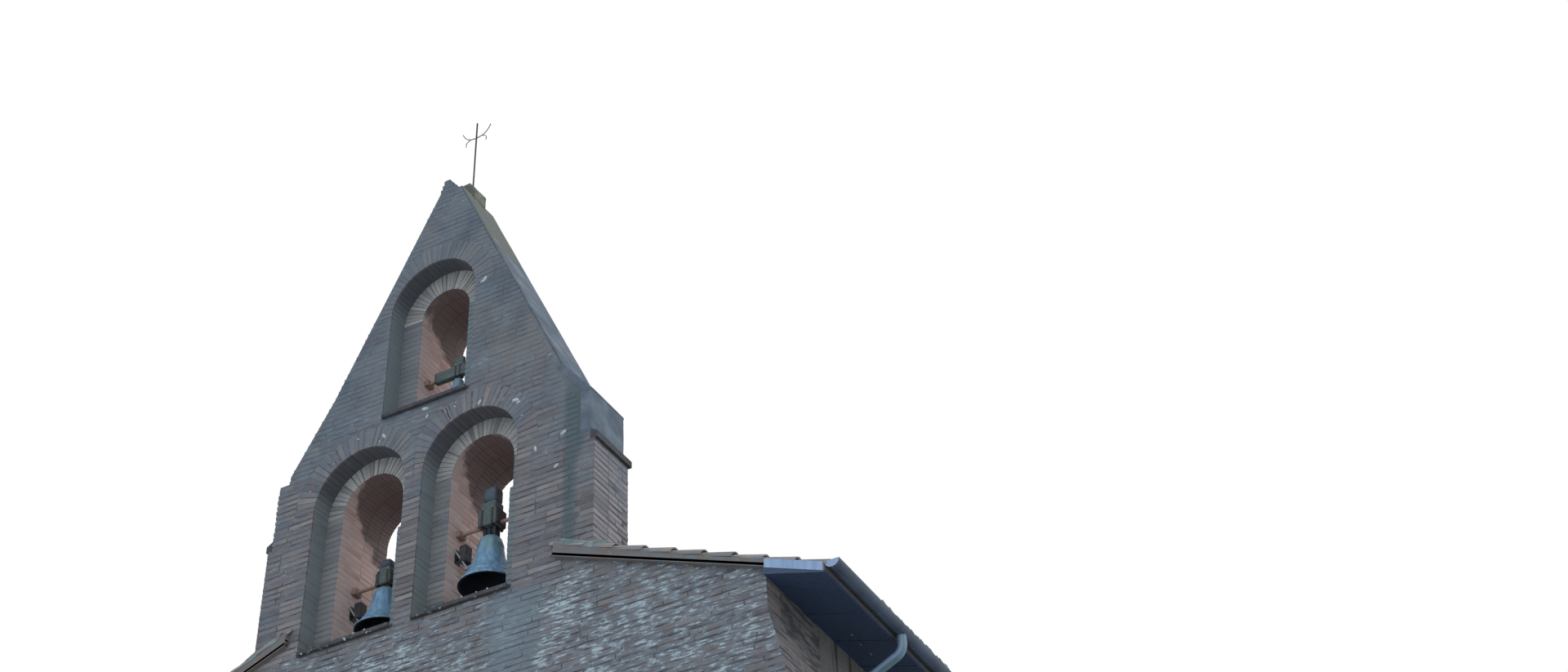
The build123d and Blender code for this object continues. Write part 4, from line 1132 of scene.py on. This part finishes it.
def bell(name, tall, block, neck):
    """One bell with its canons, its headstock and the straps between them, which swing together: how tall the bell
    and the block of its headstock are, and half the width of the neck over that."""
    body = f"{name}_bell_set"
    low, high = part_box(f"{name}_bell")
    stock_low, stock_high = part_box(f"{name}_headstock")
    x, y, foot, hung = (low.x + high.x) / 2, (low.y + high.y) / 2, low.z, stock_low.z
    radius = (high.x - low.x) / 2
    casting, inside, canons = bmesh.new(), bmesh.new(), bmesh.new()
    turned(casting, [(radius * r, tall * h) for r, h in BELL_OUTSIDE], (x, y, foot), 40)
    smooth(casting)
    for face in casting.faces:
        face.material_index = int(face.calc_center_median().z < foot + 0.003 * tall)
    turned(inside, [(radius * r, tall * h) for r, h in BELL_INSIDE], (x, y, foot), 40)
    bmesh.ops.reverse_faces(inside, faces=inside.faces)
    smooth(inside, 1)
    join(casting, inside)
    bmesh.ops.remove_doubles(casting, verts=casting.verts, dist=0.0002)
    # The canons: a stout middle loop and two bows that lean on it
    crown, root = foot + tall, foot + tall - 0.02 * tall
    for way, wide, deep, top in ((0, 0.07, 0.17, hung), (-1, 0.05, 0.15, crown + 0.8 * (hung - crown)),
                                 (1, 0.05, 0.15, crown + 0.8 * (hung - crown))):
        at = x + way * 0.155 * radius
        bar(canons, (at - wide * radius, y - deep * radius, root), (at + wide * radius, y + deep * radius, top), 0.012,
            Matrix.Rotation(-way * 0.16, 4, "Y"))
    for face in canons.faces:
        face.material_index = 1
    join(casting, canons)
    piece(f"{name}_bell_casting", casting, ["bell_bronze", "bell_soot_and_crack_shade"], "bell_bronze", f"{name}_bell", body=body)

    # The headstock: a squared block, with a lead-capped counterweight where there is a long neck
    shoulder = hung + block
    half_deep = (stock_high.y - stock_low.y) / 2
    rise, deep = stock_high.z - shoulder, 0.8 * half_deep
    stock, iron, ends = bmesh.new(), bmesh.new(), bmesh.new()
    bar(stock, (stock_low.x, y - half_deep, hung), (stock_high.x, y + half_deep, shoulder), 0.014)
    top, rounding = (stock_high.z, 0.02) if name == "upper" else (shoulder + 0.35 * rise, 0.01)
    bar(stock, (x - neck, y - deep, shoulder - 0.01), (x + neck, y + deep, top), rounding)
    piece(f"{name}_headstock_oak", stock, ["weathered_oak"], "painted_oak", f"{name}_headstock", body=body)
    if name != "upper":
        cap = bmesh.new()
        bar(cap, (x - neck, y - deep - 0.004, shoulder + 0.33 * rise), (x + neck, y + deep + 0.004, stock_high.z),
            0.045, segments=5)
        piece(f"{name}_counterweight_cap", cap, ["lead_sheet"], "painted_oak", body=body)
    half = 0.045 * radius
    for at in (x - 0.2 * radius, x + 0.2 * radius):
        for way in (-1, 1):
            near, far = between(way, half_deep - 0.001, half_deep + 0.006, y)
            bar(iron, (at - half, near, hung - 0.012), (at + half, far, shoulder + 0.004), 0.002)
            place = Matrix.Translation((at, y + way * 0.9 * half_deep, shoulder + 0.009))
            for vert in cone(iron, 6, 0.016, 0.014, place):
                for face in vert.link_faces:
                    face.material_index = 1
        for near, far, under in ((-0.14 * radius, -0.14 * radius + 0.012, crown - 0.01),
                                 (0.14 * radius - 0.012, 0.14 * radius, crown - 0.01),
                                 (-half_deep - 0.005, half_deep + 0.005, hung - 0.008)):
            bar(iron, (at - half, y + near, under), (at + half, y + far, hung), 0.002)
    piece(f"{name}_bell_straps", iron, ["wrought_iron", "galvanised_iron"], "wrought_iron", body=body)
    for start in (stock_low.x - 0.012, stock_high.x - 0.002):
        bar(ends, (start, y - 0.9 * half_deep, hung + 0.006), (start + 0.014, y + 0.9 * half_deep, shoulder - 0.006),
            0.003)
    piece(f"{name}_gudgeon_plates", ends, ["wrought_iron"], "wrought_iron", body=body)


def strike_hammers():
    """The two striking hammers: a dark cast case on its bracket, and a light arm that reaches the bell's waist."""
    case, arms = bmesh.new(), bmesh.new()
    for name, (x, _, inner, _, _, _) in zip(("left", "right"), OPENINGS):
        low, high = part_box(f"{name}_bell")
        stock_low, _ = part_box(f"{name}_headstock")
        y, jamb = (low.y + high.y) / 2, x - inner
        z = stock_low.z - 0.235
        bar(case, (jamb + 0.06, y - 0.065, z - 0.11), (jamb + 0.16, y + 0.065, z + 0.11), 0.022, segments=3)
        bar(case, (jamb - 0.004, y - 0.03, z - 0.03), (jamb + 0.07, y + 0.03, z + 0.03), 0.004)
        bar(case, (jamb - 0.004, y - 0.05, z - 0.09), (jamb + 0.008, y + 0.05, z + 0.09), 0.002)
        head = Vector((jamb + 0.161, y - 0.02, z - 0.2))
        root = Vector((jamb + 0.02, y - 0.085, z + 0.05))
        along = head - root
        place = Matrix.Translation((head + root) / 2) @ along.to_track_quat("Z", "X").to_matrix().to_4x4()
        cone(arms, 12, 0.010, along.length, place, 0.013)
        cone(arms, 16, 0.022, 0.036, Matrix.Translation(head) @ Matrix.Rotation(math.pi / 2, 4, "Y"), 0.019)
    piece("hammer_cases", case, ["wrought_iron"], "wrought_iron", "hammers")
    piece("hammer_arms", arms, ["galvanised_iron"], "wrought_iron")


def iron_cross():
    """The cross on the peak: a thin square shaft and two arms whose tips curl up and down."""
    low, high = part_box("cross")
    x, y = (low.x + high.x) / 2, (low.y + high.y) / 2
    shaft = bmesh.new()
    bar(shaft, (x - 0.008, y - 0.008, low.z - 0.02), (x + 0.008, y + 0.008, high.z), 0.002)
    piece("cross_shaft", shaft, ["wrought_iron"], "wrought_iron", "cross")
    arm = low.z + 0.945
    for side, hand in ((-1, "left"), (1, "right")):
        for name, radius, scroll in (
            ("upper", 0.0055, ((0, -0.03), (0.08, -0.02), (0.15, 0.02), (0.20, 0.09), (0.215, 0.13))),
            ("lower", 0.005, ((0, -0.03), (0.07, -0.01), (0.13, -0.03), (0.165, -0.08), (0.15, -0.12))),
        ):
            rod(f"cross_{hand}_{name}_scroll", [(x + side * out, y, arm + up) for out, up in scroll], radius)


def peak_stone():
    """The saddle stone on the peak, its arrises lost to frost and moss, and the broken brick before it."""
    stone = bmesh.new()
    stone.from_mesh(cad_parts["cap_stone"].data)
    bmesh.ops.remove_doubles(stone, verts=stone.verts, dist=0.0005)
    bmesh.ops.dissolve_limit(stone, angle_limit=0.02, verts=stone.verts, edges=stone.edges)
    bmesh.ops.triangulate(stone, faces=stone.faces)
    finer(stone, 0, 5)
    roughen(stone, (0.010, 7), (0.006, 23), swell=0.002)
    smooth(stone)
    piece("mossy_saddle_stone", stone, ["mossy_stone"], "mossy_stone", "cap_stone")
    stub = bmesh.new()
    left, right, height = -0.133, 0.142, 0.198
    for k in range(3):
        share = k / 3
        low = Vector((left + 0.068 * share - 0.002, FRONT - PROUD, PEAK + height * share + 0.004))
        high = Vector((right - 0.157 * (share + 0.25), FRONT + 0.142, PEAK + height * (share + 1 / 3) - 0.006))
        brick(stub, low, high, WORN)
    piece("broken_peak_brick", stub, ["gable_brick"])


def mortar_crumbs():
    """Bits of white mortar at the arches and along the sills, and the crack over the right arch, a dark strip of
    painted shade.
    """
    crumbs = bmesh.new()
    places = [(x, FRONT - 0.004, SILL + z, random.uniform(0.025, 0.05)) for x, z in WHITE_BITS]
    for x, outer, _, foot, spring, _ in OPENINGS[:2]:
        for _ in range(8):
            along = random.uniform(x - outer + 0.05, x + outer - 0.05)
            places.append((along, FRONT - 0.045, foot + random.choice((0.004, 0.044)), random.uniform(0.010, 0.022)))
        for _ in range(4):
            angle = random.uniform(0.15, math.pi - 0.15)
            out = outer + random.uniform(0.0, RING)
            places.append((x + out * math.cos(angle), FRONT - 0.004, spring + out * math.sin(angle),
                           random.uniform(0.010, 0.020)))
    for x, y, z, size in places:
        turn = Matrix.Rotation(random.uniform(0, math.pi), 4, "Y")
        place = Matrix.Translation((x, y, z)) @ turn @ Matrix.Diagonal((size, 0.35 * size, 0.5 * size, 1))
        bmesh.ops.create_icosphere(crumbs, subdivisions=2, radius=1.0, matrix=place)
    roughen(crumbs, (0.004, 40))
    piece("white_mortar_bits", crumbs, ["white_mortar"], "mortar")
    # The crack is a thin strip in the near-black finish: painted shade for the gap
    crack = bmesh.new()
    ends = ((0.186, 2.709), (0.21, 2.66), (0.225, 2.60), (0.266, 2.528))
    for (x0, z0), (x1, z1) in zip(ends, ends[1:]):
        length, lean = math.hypot(x1 - x0, z1 - z0), math.atan2(x1 - x0, z1 - z0)
        middle = Vector(((x0 + x1) / 2, FRONT - PROUD, SILL + (z0 + z1) / 2))
        half = Vector((0.005, 0.003, length / 2 + 0.003))
        bar(crack, middle - half, middle + half, 0.0, Matrix.Rotation(lean, 4, "Y"))
    piece("settlement_crack", crack, ["bell_soot_and_crack_shade"])


def dress_nodes():
    """Gives the nodes that stay their finishes."""
    finishes = {
        "lime_mortar": ("front_wall", "front_wall_left", "front_wall_right", "doorway_arch", "left_pier",
                        "middle_pier", "right_pier", "lower_arches", "upper_left_pier", "upper_right_pier",
                        "upper_arch", "gable_peak", "buttresses"),
        "wall_plaster": ("left_wall", "right_wall", "back_wall"),
        "canal_tile": ("verges", "left_roof", "right_roof", "ridge_tiles"),
        "thin_tile": ("lower_sills", "upper_sill", "shoulder_copings"),
        "lead_sheet": ("bell_landing",),
        "mossy_stone": ("cap_stone",),
        "bell_bronze": ("left_bell", "right_bell", "upper_bell"),
        "wrought_iron": ("cross", "hammers"),
        "rusted_iron": ("bearings", "left_axle", "right_axle", "upper_axle"),
        "weathered_oak": ("left_headstock", "right_headstock", "upper_headstock"),
        "door_oak": ("door_leaves",),
        "rolled_zinc": ("eaves_end_plates",),
        "gutter_zinc": ("gutters_and_downpipes",),
        "soffit_board": ("soffits",),
        "leaded_glass": ("left_windows", "right_windows"),
        "worn_stone": ("nave_floor", "door_step"),
    }
    for finish, nodes in finishes.items():
        for node in nodes:
            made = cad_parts[node]
            if not made.material_slots:
                made.data.materials.append(MATERIALS[finish])
            for place in made.material_slots:
                place.material = MATERIALS[finish]


def pale_floor(add, place):
    """A matt studio floor, warmer to the camera than to the light that it throws back."""
    to_camera = add("LightPath", out="Is Camera Ray")
    return add("Mix", {0: to_camera, 6: "#c2c2c0", 7: "#f0e2d5"}), 0.9, 0.5, 0.0


def light_and_floor():
    """A pale floor, an even pale sky and one soft lamp from the right, a little behind the front."""
    world = bpy.data.worlds.new("studio")
    bpy.context.scene.world = world
    world.use_nodes = True
    world.node_tree.nodes.clear()
    add = partial(add_node, world.node_tree)
    rays = add("LightPath").node.outputs
    seen = add("Math", (rays["Is Camera Ray"], rays["Is Glossy Ray"]), operation="MAXIMUM")
    seen = add("Math", (seen, rays["Is Transmission Ray"]), operation="MAXIMUM")
    sky = add("Background", {"Color": "#dceeff", "Strength": 1.22})
    white = add("Background", {"Color": "#ffffff", "Strength": 1.0})
    add("OutputWorld", {"Surface": add("MixShader", (seen, sky, white))})
    lamp = bpy.data.lights.new("soft_sun", "SUN")
    lamp.energy, lamp.angle = 0.55, math.radians(50)
    sun = bpy.data.objects.new("soft_sun", lamp)
    sun.rotation_euler = (math.radians(52), 0, math.radians(100))
    bpy.context.scene.collection.objects.link(sun)
    ground = bmesh.new()
    bmesh.ops.create_grid(ground, x_segments=1, y_segments=1, size=120)
    mesh = bpy.data.meshes.new("studio_floor")
    ground.to_mesh(mesh)
    ground.free()
    floor = bpy.data.objects.new("studio_floor", mesh)
    bpy.context.scene.collection.objects.link(floor)
    mesh.materials.append(material("pale_floor", pale_floor))


def camera():
    """The photograph's angle: low, to the right of the front, looking up."""
    lens = bpy.data.cameras.new("view")
    lens.sensor_width = 36.0
    lens.lens = 46.333
    lens.clip_end = 400
    made = bpy.data.objects.new("view", lens)
    made.location = (11.7141, -22.9792, 0.4614)
    made.rotation_euler = (2.2403626, 0.0456063, 0.4836059)
    bpy.context.scene.collection.objects.link(made)
    bpy.context.scene.camera = made


for build in (camera, light_and_floor, dress_nodes, front_brickwork, buttress_brickwork, back_brickwork, inner_order,
              arch_rings, slope_wash, doorway_brickwork, window_surrounds, window_leads, door_dressing, roof_tiles,
              verge_tiles, ridge_cover, eaves_fittings):
    build()
for name, *sizes in (("left", 0.545, 0.170, 0.075), ("right", 0.640, 0.210, 0.090), ("upper", 0.240, 0.150, 0.070)):
    bell(name, *sizes)
for build in (strike_hammers, iron_cross, peak_stone, mortar_crumbs):
    build()
bpy.context.scene.view_settings.view_transform = "Standard"
